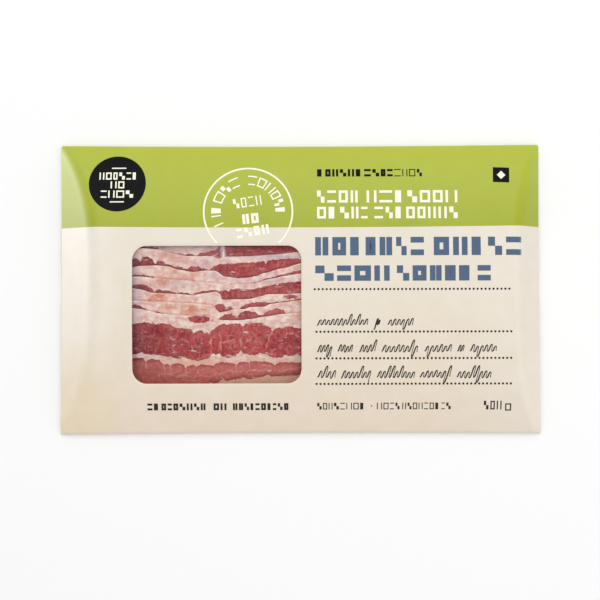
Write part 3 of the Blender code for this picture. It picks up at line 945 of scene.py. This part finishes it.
# Thin pale seams of fat inside the lean of the rasher on top
SEAMS = [
    [(-44.5, -22.2), (-44.6, -27.0), (-44.4, -33.0)],
    [(-40.1, -21.5), (-39.7, -26.6), (-40.2, -33.0)],
    [(-39.7, -26.9), (-37.0, -26.4), (-33.5, -25.6)],
    [(-28.7, -19.0), (-28.3, -22.7), (-29.4, -25.6), (-29.7, -31.0)],
    [(-24.3, -24.3), (-25.6, -25.6), (-27.4, -26.2)],
    [(-14.0, -21.1), (-15.4, -24.4), (-16.6, -29.0)],
    [(-7.5, -23.4), (-5.6, -22.3), (-3.5, -22.5), (-2.0, -23.7), (-0.3, -23.6)],
    [(-58.4, -25.0), (-56.0, -26.9), (-54.0, -29.0), (-53.6, -31.5)],
    [(-71.5, -43.4), (-69.0, -42.1), (-64.6, -42.3), (-61.8, -43.7)],
    [(-44.6, -43.8), (-41.9, -42.3), (-37.3, -41.7), (-34.9, -40.6), (-33.3, -41.5), (-29.2, -40.8),
     (-25.6, -41.0), (-16.6, -40.4), (-13.5, -40.1), (-9.9, -41.0), (-5.6, -39.9), (0.3, -39.4)],
    [(-57.1, -39.6), (-56.9, -43.0)], [(-76.9, -36.2), (-76.6, -39.4)], [(-68.2, -37.8), (-67.8, -40.6)],
    [(-64.8, -38.0), (-64.6, -40.2)], [(-51.8, -38.6), (-51.4, -41.6)], [(-43.3, -38.6), (-43.0, -41.8)],
    [(-32.0, -37.7), (-31.8, -40.6)], [(-25.6, -36.9), (-25.4, -40.6)], [(-12.8, -38.6), (-12.6, -40.4)],
    [(-61.8, -43.7), (-58.0, -42.9), (-54.2, -44.0), (-50.0, -43.2), (-44.6, -43.8)],
]

# Patches where smoke has browned the fat, and lilac patches of painted shade and painted film
# reflection along the window's left and top edges and in a few spots: X, Y, half length, half
# width and strength
SMOKED = [
    (-65.4, 17.0, 5.4, 2.2, 1.1), (-62.0, 8.0, 3.2, 1.8, 1.0), (-67.2, 3.4, 5.0, 2.4, 1.1),
    (-70.0, -4.3, 4.6, 2.4, 1.7), (-74.3, -6.0, 3.4, 1.8, 1.2), (-64.5, -9.2, 4.6, 1.5, 1.1),
    (-54.6, -10.2, 3.8, 3.0, 1.4), (-55.0, 6.0, 4.4, 2.2, 0.8), (-46.6, -10.6, 4.2, 2.4, 0.8),
    (-0.9, -6.8, 2.4, 2.0, 1.2), (-0.6, -14.2, 2.6, 1.7, 1.1), (-58.0, 14.0, 5.0, 1.8, 0.6),
]
PAINTED_SHADE_AND_REFLECTION = [
    (-83.5, 1.0, 4.2, 40.0, 1.0), (-47.2, 11.9, 4.0, 1.6, 0.9), (-59.5, 2.5, 8.0, 2.2, 0.55),
    (-42.0, 5.8, 5.0, 1.8, 0.6), (-44.5, 19.6, 4.0, 1.2, 0.5), (-81.5, -10.5, 4.5, 2.4, 0.6),
    (-22.0, 3.6, 9.0, 1.6, 0.3), (-74.0, -40.0, 8.0, 6.0, 0.32), (-79.0, 14.0, 5.0, 3.0, 0.5),
    (-14.0, 3.8, 8.0, 1.5, 0.55), (-13.0, 15.6, 16.0, 1.8, 0.95), (-42.0, 22.5, 60.0, 6.5, 0.45),
]


def smooth_line(x, points):
    """Height of a rounded line through points, at each x."""
    places = np.array([p[0] for p in points], float)
    heights = np.array([p[1] for p in points], float)
    found = np.clip(np.searchsorted(places, x) - 1, 0, len(points) - 2)
    share = np.clip((x - places[found]) / (places[found + 1] - places[found]), 0, 1)
    eased = 0.35 * share + 0.65 * share * share * (3 - 2 * share)
    return heights[found] + (heights[found + 1] - heights[found]) * eased


def in_window(x):
    """How far a place is inside the window's length, from 0 outside to 1 inside."""
    left = np.clip((x - WINDOW_LEFT + WINDOW_FADE) / WINDOW_FADE, 0, 1)
    return left * np.clip((WINDOW_RIGHT + WINDOW_FADE - x) / WINDOW_FADE, 0, 1)


def wave(x, number, size):
    """A gentle wave along one rasher's edge."""
    return size * (1 + np.sin(2 * math.pi * x / EDGE_WAVELENGTH + number * GOLDEN_TURN))


def fan_low(x):
    """Y where the rasher on top starts."""
    return FAN_LOW + FAN_BOW * np.cos(2 * math.pi * (x - BOW_CREST) / BOW_WAVELENGTH)


def low_edge(x, number):
    """Y of a rasher's lower edge."""
    return fan_low(x) + number * FAN_PITCH + wave(x, number, EDGE_WAVE)


def high_edge(x, number):
    """Y of a rasher's upper edge, which follows its own line inside the window."""
    rule = low_edge(x, number) + RASHER_WIDTH + wave(x, number + RASHERS, EDGE_WAVE)
    if number >= len(UPPER_EDGES):
        return rule
    share = in_window(x)
    return rule + (smooth_line(x, UPPER_EDGES[number]) - rule) * share


def rasher_base(x, y, number):
    """Height of a rasher's underside, which rests on all the rashers that start further down."""
    started = np.minimum((y - fan_low(x)) / FAN_PITCH, RASHERS - 1.0)
    swell = SWELL * (1 + np.sin(2 * math.pi * x / SWELL_WAVELENGTH))
    return FLOOR + swell + LAYER * np.maximum(started - number, 0.0)


def ripple(x, y, size, seed, waves=7):
    """A smooth random field between about -1 and 1, with bumps of about one size."""
    draw = np.random.default_rng(seed)
    total = np.zeros_like(x, dtype=float)
    for _ in range(waves):
        angle = draw.uniform(0, 2 * math.pi)
        length = size * draw.uniform(0.7, 1.6)
        phase = draw.uniform(0, 2 * math.pi)
        total += np.sin(2 * math.pi * (x * math.cos(angle) + y * math.sin(angle)) / length + phase)
    return total / math.sqrt(waves)


def lean_depth(x, y, number):
    """How deep a point lies in lean, in millimetres, and below zero in fat."""
    edge = high_edge(x, number)
    wobble = BORDER_WOBBLE * ripple(x, y, 5.0, 11 + number)
    borders = [edge - below + wander * ripple(x, y, length, seed + number)
               for below, wander, length, seed in LEAN_BORDERS]
    traced = []
    if number == 0:
        traced = [WIDE_TOP, WIDE_LOW, SECOND_TOP, LAST_FAT]
        wobble = 0.0
    elif number <= len(LEAN_LINES):
        traced = [LEAN_LINES[number - 1]]
        wobble = wobble * TRACED_WOBBLE
    for place, line in enumerate(traced):
        borders[place] += (smooth_line(x, line) - borders[place]) * in_window(x)
    own_top, own_low, second, last = borders
    if len(traced) == 1:
        own_low = np.minimum(own_low, own_top - LEAN_LEAST)
    wide = np.minimum(own_top - y, y - own_low)
    thin = np.minimum(second - y, y - last)
    depth = np.maximum(wide, thin) + wobble
    for rasher, island_x, island_y, long, wide in LEAN_ISLANDS:
        if rasher == number:
            inward = 1 - np.hypot((x - island_x) / long, (y - island_y) / wide)
            depth = np.maximum(depth, inward * wide)
    return depth


def patches(x, y, spots):
    """Strength of a few soft round patches."""
    total = np.zeros_like(x, dtype=float)
    for spot_x, spot_y, long, wide, strength in spots:
        near = ((x - spot_x) / long) ** 2 + ((y - spot_y) / wide) ** 2
        total = np.maximum(total, strength * np.exp(-near))
    return total


def seam_distance(x, y):
    """Distance from the thin seams of fat, in millimetres."""
    x, y = x + 0.45 * ripple(x, y, 3.4, 701), y + 0.45 * ripple(x, y, 3.0, 702)
    nearest = np.full(x.shape, FAR)
    for seam in SEAMS:
        for (x0, y0), (x1, y1) in zip(seam, seam[1:]):
            run = (x1 - x0) ** 2 + (y1 - y0) ** 2
            share = np.clip(((x - x0) * (x1 - x0) + (y - y0) * (y1 - y0)) / run, 0, 1)
            away = np.hypot(x - x0 - share * (x1 - x0), y - y0 - share * (y1 - y0))
            nearest = np.minimum(nearest, away)
    return nearest


def step_distance(x, y, number):
    """Distance above the edge of the rasher on top of this one, in millimetres."""
    if number == 0:
        return np.full(x.shape, FAR)
    return y - high_edge(x, number - 1)


def edge_drop(distance):
    """How far the surface falls at a distance from a rounded edge."""
    near = np.clip(ROUNDING - distance, 0, ROUNDING)
    return ROUNDING - np.sqrt(ROUNDING**2 - near**2)


def top_height(x, y, number):
    """Height of a rasher's upper surface, with its soft swells and rounded edges."""
    lean = lean_depth(x, y, number)
    relief = LEAN_RISE * np.tanh(lean / LEAN_SLOPE) + SLICE_SWELL * ripple(x, y, 9.0, 200 + number)
    relief = relief + SLICE_GRAIN * ripple(x, y, 2.6, 300 + number)
    edge = np.minimum(high_edge(x, number) - y, y - low_edge(x, number))
    return rasher_base(x, y, number) + RASHER_THICKNESS + relief - edge_drop(np.maximum(edge, 0))


def rasher_stations(number):
    """X of the rows of points along a rasher, close together in the window."""
    left_share = number * LEFT_STAGGER_STEP % STAGGER_CYCLE / STAGGER_CYCLE
    right_share = number * RIGHT_STAGGER_STEP % STAGGER_CYCLE / STAGGER_CYCLE
    left = RASHERS_LEFT + END_STAGGER * left_share
    right = RASHERS_RIGHT - END_STAGGER * right_share
    fine = FINE if number <= len(UPPER_EDGES) else COARSE
    shown = np.arange(WINDOW_LEFT - 3, WINDOW_RIGHT + 3, fine)
    before = np.linspace(left, shown[0], round((shown[0] - left) / COARSE) + 2)[:-1]
    after = np.linspace(shown[-1], right, round((right - shown[-1]) / COARSE) + 1)[1:]
    return np.concatenate([before, shown, after])


def rasher_depths(number):
    """Distances below the upper edge, close together where the rasher shows."""
    if number == 0:
        return np.concatenate([ROUND_STEPS, np.arange(1.0, 36.4, 0.5)])
    if number <= len(UPPER_EDGES):
        return np.concatenate([ROUND_STEPS, np.arange(1.0, SHOWN_DEPTH, 0.5), np.arange(14.0, 35.0, COARSE)])
    return np.concatenate([ROUND_STEPS, np.arange(3.0, 35.0, COARSE)])


def build_rasher(number, material):
    """One slice: a closed slab whose upper face carries its fat, lean, seams and tints."""
    stations = rasher_stations(number)
    depths = rasher_depths(number)
    high = high_edge(stations, number)
    low = low_edge(stations, number)
    y = np.stack([high - depth for depth in depths] + [low + end for end in ROUND_STEPS[::-1]], axis=-1)
    y = np.maximum.accumulate(y[:, ::-1], axis=1)
    x = np.repeat(stations[:, None], y.shape[1], axis=1)
    top = top_height(x, y, number)
    edge = np.minimum(high[:, None] - y, y - low[:, None])
    bottom = rasher_base(x, y, number) + 0.5 * edge_drop(np.maximum(edge, 0))
    columns = y.shape[1]
    count = x.size
    faces = grid_faces(len(stations), columns)
    faces += [(a + count, d + count, c + count, b + count) for a, b, c, d in faces]
    rim = [r * columns for r in range(len(stations))]
    rim += [(len(stations) - 1) * columns + c for c in range(1, columns)]
    rim += [r * columns + columns - 1 for r in range(len(stations) - 2, -1, -1)]
    rim += [c for c in range(columns - 2, 0, -1)]
    for here, after in zip(rim, rim[1:] + rim[:1]):
        faces.append((here, here + count, after + count, after))
    points = np.stack([np.stack([x, y, top], -1), np.stack([x, y, bottom], -1)]).reshape(-1, 3)
    name = f"slice_{number + 1:02d}"
    mesh = mesh_from(name, points, faces)
    px, py = points[:, 0], points[:, 1]
    values = {
        "lean": lean_depth(px, py, number),
        "seam": seam_distance(px, py) if number == 0 else np.full(len(px), FAR),
        "smoked": patches(px, py, SMOKED),
        # Painted shade and painted film reflection, as patches
        "painted_shade_and_reflection": patches(px, py, PAINTED_SHADE_AND_REFLECTION),
        "rosy": np.clip((ROSY_TOP - py) / ROSY_FADE, 0, 1) if number == 0 else np.zeros(len(px)),
        "step": step_distance(px, py, number),
    }
    keep_values(mesh, values)
    slice_object = link_object(name, mesh)
    mesh.materials.append(material)
    mesh.shade_smooth()
    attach(slice_object, "root")
    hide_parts(f"rasher_{number + 1:02d}")
    return slice_object


# Grain of the meat: size in millimetres, detail, roughness and stretch along X and Y
MEAT_GRAIN = {
    "fine": (0.9, 3.0, 0.6, 1.0, 1.0), "coarse": (3.2, 3.0, 0.55, 1.0, 1.0),
    "tear": (2.0, 2.0, 0.5, 1.0, 1.0), "streak": (1.1, 3.0, 0.6, 0.22, 1.0),
    "chalk": (1.6, 4.0, 0.6, 0.4, 1.0), "smoke": (2.0, 4.0, 0.65, 1.0, 1.0),
    "fibre": (2.1, 4.0, 0.6, 1.0, 0.6), "broad": (9.0, 2.0, 0.5, 1.0, 1.0),
    "web": (2.2, 4.0, 0.7, 1.0, 1.0), "zone": (7.0, 2.0, 0.5, 1.0, 1.0), "fleck": (0.75, 3.0, 0.7, 1.0, 0.7),
}

# Marks worked out from the grain and from what each point carries: the mark, the operation and
# what it takes. A fade takes a mark, two limits, and the mark's strength at each.
MEAT_MARKS = [
    ("torn", "MULTIPLY_ADD", "fine", 1.3, "lean"), ("torn", "MULTIPLY_ADD", "tear", 1.5, "torn"),
    ("torn", "SUBTRACT", "torn", 1.4), ("web", "SUBTRACT", "web", 0.5), ("web", "ABSOLUTE", "web"),
    ("seam", "MULTIPLY_ADD", "fine", 0.6, "seam"), ("tuck", "MULTIPLY_ADD", "coarse", -1.0, "step"),
    ("streak", "FADE", "streak", 0.52, 0.72, 0.0, 0.62), ("chalk", "FADE", "chalk", 0.52, 0.66, 0.0, 0.8),
    ("broad", "FADE", "broad", 0.4, 0.65, 0.0, 0.6), ("zone", "FADE", "zone", 0.4, 0.62, 0.0, 1.0),
    ("fleck", "FADE", "fleck", 0.58, 0.74, 0.0, 0.5), ("web", "FADE", "web", 0.0, 0.04, 0.55, 0.0),
    # The cap mark is painted shade round the lean of the lower band. The strip mark is partly the thin lean's
    # own darker tone and partly painted shade on the half-covered strips.
    ("rim", "FADE", "torn", 0.0, 0.9, 0.35, 0.0), ("cap", "FADE", "torn", 0.2, 2.2, 0.6, 0.0),
    ("vein", "FADE", "vein", 0.0, 0.05, 0.4, 0.0), ("seam", "FADE", "seam", 0.35, 0.85, 0.82, 0.0),
    ("strip", "FADE", "step", 6.0, 9.0, 0.10, 0.0), ("tuck", "FADE", "tuck", -0.5, 0.4, 0.85, 0.0),
    ("left", "FADE", "x", -84 * MM, -46 * MM, 1.0, 0.0), ("smoke", "MULTIPLY_ADD", "smoke", 2.8, -0.75),
    ("plain", "SUBTRACT", 1.0, "rosy"), ("deep", "MULTIPLY", "left", "plain"),
    ("calm", "MULTIPLY_ADD", "deep", -0.8, 1.0), ("webbed", "MAXIMUM", "zone", "rosy"),
    ("relief", "MULTIPLY", "fine", 0.4), ("relief", "MULTIPLY_ADD", "fibre", 0.6, "relief"),
]

# Colours laid over the fat and the lean in turn: two strengths that are multiplied, and the colour
# The lilac coat on the fat is painted shade and painted film reflection
FAT_COATS = [
    ("streak", 1.0, "#D69A97"), ("chalk", 1.0, "#F2E2D6"), ("smoked", "smoke", "#D88A69"),
    # The peach coat of the lower band's fat is partly the fat's own colour and partly painted light that
    # lifts the shade at the deep bottom of the window
    ("rosy", 0.75, "#F2B69B"), ("painted_shade_and_reflection", 0.75, "#C3A3B0"),
]
LEAN_COATS = [
    ("broad", 1.0, "#C44C48"), ("rosy", 0.62, "#DC776B"), ("deep", 0.62, "#730916"),
    # The dark purple coat on the lean is painted shade and painted film reflection
    ("web", "webbed", "#DDA097"), ("fleck", "calm", "#D58C83"), ("painted_shade_and_reflection", 0.6, "#6C2C3F"),
    # The cap coat is painted shade; the strip coat is partly the thin lean's own darker tone and partly
    # painted shade
    ("rim", 1.0, "#7A2B35"), ("cap", "rosy", "#96363C"), ("vein", "coarse", "#D08E88"),
    ("seam", 1.0, "#DC9F97"), ("strip", 1.0, "#5A1C2A"),
]


def cured_belly():
    """Sliced, smoked pork belly: pinkish white fat with chalky streaks and smoke-browned patches,
    lean with fibres, fine pale marbling and thin seams of fat, and a moist surface that gives
    small soft highlights."""
    material, tree, place = new_material("sliced cured pork belly")
    known = {}
    for name, (size, detail, rough, stretch_x, stretch_y) in MEAT_GRAIN.items():
        drawn = add_node(tree, "ShaderNodeMapping", {"Vector": place, "Scale": (stretch_x, stretch_y, 1.0)})
        known[name] = add_node(tree, "ShaderNodeTexNoise", {
            "Vector": drawn, "Scale": 1 / (size * MM), "Detail": detail, "Roughness": rough})
    for name in ("lean", "seam", "smoked", "painted_shade_and_reflection", "rosy", "step"):
        known[name] = add_node(tree, "ShaderNodeAttribute", attribute_name=name).outputs["Fac"]
    known["x"] = add_node(tree, "ShaderNodeSeparateXYZ", {0: place})
    sway = add_node(tree, "ShaderNodeTexNoise", {"Vector": place, "Scale": 1 / (3 * MM), "Detail": 2.0})
    sway = add_node(tree, "ShaderNodeVectorMath", {0: sway.outputs["Color"], 1: (4 * MM, 4 * MM, 0.0)},
                    operation="MULTIPLY")
    sway = add_node(tree, "ShaderNodeVectorMath", {0: place, 1: sway}, operation="ADD")
    known["vein"] = add_node(tree, "ShaderNodeTexVoronoi", {"Vector": sway, "Scale": 1 / (7 * MM)},
                             feature="DISTANCE_TO_EDGE")
    for name, operation, *terms in MEAT_MARKS:
        inputs = {number: known.get(term, term) for number, term in enumerate(terms)}
        if operation == "FADE":
            known[name] = add_node(tree, "ShaderNodeMapRange", inputs)
        else:
            known[name] = add_node(tree, "ShaderNodeMath", inputs, operation=operation)

    # The fat and the lean with their coats, and the border between them
    fat = set_ramp(add_node(tree, "ShaderNodeValToRGB", {"Fac": known["coarse"]}), [
        (0.3, linear("#DCA9A0")), (0.5, linear("#EFCCC0")), (0.62, linear("#FBE8DB"))])
    lean = set_ramp(add_node(tree, "ShaderNodeValToRGB", {"Fac": known["fibre"]}), [
        (0.34, linear("#861F2B")), (0.5, linear("#AE353B")), (0.66, linear("#CF5D59"))])
    coated = []
    for base, coats in ((fat, FAT_COATS), (lean, LEAN_COATS)):
        colour = base.outputs[0]
        for first, second, shade in coats:
            cover = add_node(tree, "ShaderNodeMath", {0: known[first], 1: known.get(second, second)},
                             operation="MULTIPLY", use_clamp=True)
            colour = add_node(tree, "ShaderNodeMix", {0: cover, 6: colour, 7: linear(shade)},
                              data_type="RGBA").outputs[2]
        coated.append(colour)
    lean_share = add_node(tree, "ShaderNodeMapRange",
                          {"Value": known["torn"], "From Min": -0.16, "From Max": 0.24},
                          interpolation_type="SMOOTHSTEP")
    meat = add_node(tree, "ShaderNodeMix", {0: lean_share, 6: coated[0], 7: coated[1]}, data_type="RGBA")

    # The shade under the edge of the rasher on top, deeper on lean
    tucked = add_node(tree, "ShaderNodeMath", {0: lean_share, 1: 0.75, 2: 0.2}, operation="MULTIPLY_ADD")
    tucked = add_node(tree, "ShaderNodeMath", {0: known["tuck"], 1: tucked}, operation="MULTIPLY")
    meat = add_node(tree, "ShaderNodeMix", {0: tucked, 6: meat.outputs[2], 7: linear("#6A2F3C")},
                    data_type="RGBA")
    bump = add_node(tree, "ShaderNodeBump",
                    {"Height": known["relief"], "Strength": 0.35, "Distance": 0.25 * MM})
    shader = add_node(tree, "ShaderNodeBsdfPrincipled", {
        "Base Color": meat.outputs[2], "Normal": bump, "Roughness": 0.42, "IOR": 1.4,
        "Subsurface Weight": 0.08, "Subsurface Scale": 0.5 * MM, "Subsurface Radius": (1.0, 0.4, 0.3),
        "Specular IOR Level": 0.4})
    add_node(tree, "ShaderNodeOutputMaterial", {"Surface": shader})
    return material


bacon_material = cured_belly()
for slice_number in range(RASHERS):
    build_rasher(slice_number, bacon_material)

# Film: the clear top web of the sealed pouch, drawn down over the fan by vacuum, so that it
# follows every step and shows by its gloss, a few drawn creases, painted highlights and one fold
# at the window's top.
FILM_CELL = 1.0
FILM_GAP = 0.34
FILM_THICKNESS = 0.12
FILM_RIM = 6.4
FILM_FOOT = 1.1
FILM_SKIRT = 2.2
FILM_END = 8.0
FILM_ROWS = 128
FILM_SPAN = 2
FILM_FALLS = 12
FILM_EASING = 2
CREASE = (-38.8, 23.0, 13.5, 0.75, 0.30)


def fan_surface(x, y):
    """Height of the highest rasher at each point, or the film's foot where there is none."""
    highest = np.full(x.shape, FILM_FOOT - FILM_GAP)
    along = (x > RASHERS_LEFT) & (x < RASHERS_RIGHT)
    for number in range(RASHERS):
        there = along & (y >= low_edge(x, number)) & (y <= high_edge(x, number))
        height = rasher_base(x, y, number) + RASHER_THICKNESS
        highest = np.where(there, np.maximum(highest, height), highest)
    return highest


def neighbours(field):
    """The four shifts of a grid by one cell, its edges repeated."""
    grown = np.pad(field, 1, mode="edge")
    return [grown[2:, 1:-1], grown[:-2, 1:-1], grown[1:-1, 2:], grown[1:-1, :-2]]


film_x = np.arange(RASHERS_LEFT - FILM_END, RASHERS_RIGHT + FILM_END, FILM_CELL)
film_share = np.linspace(0, 1, FILM_ROWS)
film_low = fan_low(film_x) - FILM_RIM
film_high = high_edge(film_x, RASHERS - 1) + FILM_RIM
grid_x = np.repeat(film_x[:, None], len(film_share), axis=1)
grid_y = film_low[:, None] + (film_high - film_low)[:, None] * film_share[None]
surface = fan_surface(grid_x, grid_y)
for _ in range(FILM_SPAN):
    surface = np.maximum.reduce([surface] + neighbours(surface))
for _ in range(FILM_FALLS):
    surface = np.maximum.reduce([surface] + [side - FILM_SKIRT for side in neighbours(surface)])
for _ in range(FILM_EASING):
    surface = (surface * 2 + sum(neighbours(surface))) / 6
surface = surface + FILM_GAP + 0.05 * ripple(grid_x, grid_y * 2.2, 14.0, 500) * (surface > FILM_FOOT + 2)
crease_x, crease_high, crease_low, crease_wide, crease_rise = CREASE
along_crease = np.clip((grid_y - crease_low) / 2, 0, 1) * (grid_y < crease_high)
crease = np.exp(-(((grid_x - crease_x - 0.12 * (crease_high - grid_y)) / crease_wide) ** 2)) * along_crease
surface = surface + crease_rise * crease
film_mesh = mesh_from("pouch_film", np.stack([grid_x, grid_y, surface], -1).reshape(-1, 3),
                      grid_faces(len(film_x), FILM_ROWS))
keep_values(film_mesh, {"crease": crease})
film = link_object("pouch_film", film_mesh)


def clear_film():
    """Clear cast polyamide and polythene film: almost invisible face on, with a thin reflection.
    Painted highlights, white mixed in, stand for small sparkles where it touches the meat and a
    white line along a crease."""
    material, tree, place = new_material("clear laminated film")
    wrinkle = add_node(tree, "ShaderNodeTexNoise",
                       {"Vector": place, "Scale": 1 / (2.4 * MM), "Detail": 3.0, "Roughness": 0.55})
    bump = add_node(tree, "ShaderNodeBump", {"Height": wrinkle, "Strength": 0.35, "Distance": 0.12 * MM})
    edge_on = add_node(tree, "ShaderNodeFresnel", {"Normal": bump, "IOR": 1.45})
    # Painted highlights: a white diffuse surface mixed in along the crease and in streaks
    crease_mark = add_node(tree, "ShaderNodeAttribute", attribute_name="crease").outputs["Fac"]
    painted_highlight_share = add_node(tree, "ShaderNodeMath", {0: crease_mark, 1: 0.75}, operation="MULTIPLY")
    streak = add_node(tree, "ShaderNodeMapping", {"Vector": place, "Scale": (0.3, 1.0, 1.0)})
    streak = add_node(tree, "ShaderNodeTexNoise",
                      {"Vector": streak, "Scale": 1 / (1.5 * MM), "Detail": 3.0, "Roughness": 0.6})
    painted_streak_share = add_node(tree, "ShaderNodeMapRange",
                   {"Value": streak, "From Min": 0.62, "From Max": 0.74, "To Max": 0.45})
    painted_highlight_share = add_node(tree, "ShaderNodeMath", {0: painted_highlight_share, 1: painted_streak_share}, operation="MAXIMUM")
    clear = add_node(tree, "ShaderNodeBsdfTransparent")
    gloss = add_node(tree, "ShaderNodeBsdfGlossy", {"Normal": bump, "Roughness": 0.16})
    # White diffuse shader that paints the highlights
    painted_highlight_white = add_node(tree, "ShaderNodeBsdfDiffuse", {"Color": linear("#F6ECEC"), "Roughness": 0.5})
    reflected = add_node(tree, "ShaderNodeMath", {0: edge_on, 1: 0.3}, operation="MULTIPLY")
    shiny = add_node(tree, "ShaderNodeMixShader", {0: reflected, 1: clear, 2: gloss})
    film_shader = add_node(tree, "ShaderNodeMixShader", {0: painted_highlight_share, 1: shiny, 2: painted_highlight_white})
    add_node(tree, "ShaderNodeOutputMaterial", {"Surface": film_shader})
    return material


film.data.materials.append(clear_film())
thin = film.modifiers.new("film thickness", "SOLIDIFY")
thin.thickness = FILM_THICKNESS * MM
thin.offset = 1.0
freeze(film)
film.data.shade_smooth()
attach(film, "root")
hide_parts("film")

# Floor and light: a plain pale floor. A large soft box hangs over the pack, a smaller one fills
# from the right, and a low card at the left gives the sheen on the end slope.
FLOOR_HALF = 2000.0
FLOOR_DROP = -0.25
ROOM_LIGHT = 0.66

floor_mesh = mesh_from("floor", [(x * FLOOR_HALF, y * FLOOR_HALF, FLOOR_DROP)
                                 for x, y in ((-1, -1), (1, -1), (1, 1), (-1, 1))], [(0, 1, 2, 3)])
floor = link_object("floor", floor_mesh)
floor_material, floor_tree, _ = new_material("matt white studio floor")
floor_shader = add_node(floor_tree, "ShaderNodeBsdfPrincipled",
                        {"Base Color": linear("#FAFAFA"), "Roughness": 0.9, "Specular IOR Level": 0.1})
add_node(floor_tree, "ShaderNodeOutputMaterial", {"Surface": floor_shader})
floor.data.materials.append(floor_material)
floor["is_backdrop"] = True


def soft_box(name, place, aim, width, height, power):
    """A rectangular soft light that faces a point."""
    light = bpy.data.lights.new(name, "AREA")
    light.shape = "RECTANGLE"
    light.size = width
    light.size_y = height
    light.energy = power
    item = bpy.data.objects.new(name, light)
    item.location = place
    item.rotation_euler = (Vector(aim) - Vector(place)).to_track_quat("-Z", "Y").to_euler()
    bpy.context.scene.collection.objects.link(item)
    return item


soft_box("key", (-0.05, 0.55, 1.2), (0.0, 0.0, 0.0), 1.4, 1.4, 8.0)
soft_box("right", (1.2, -0.2, 0.9), (0.1, 0.0, 0.0), 1.0, 1.0, 3.0)
sheen = soft_box("left sheen", (-1.2, 0.34, 0.15), (-0.1, 0.05, 0.0), 0.5, 0.28, 7.8)
sheen.visible_diffuse = False
world = bpy.data.worlds.new("soft room")
world.use_nodes = True
room = world.node_tree.nodes["Background"].inputs
room["Color"].default_value = linear("#FFFFFF")
room["Strength"].default_value = ROOM_LIGHT
bpy.context.scene.world = world
bpy.context.scene.view_settings.view_transform = "Standard"

low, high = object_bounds()
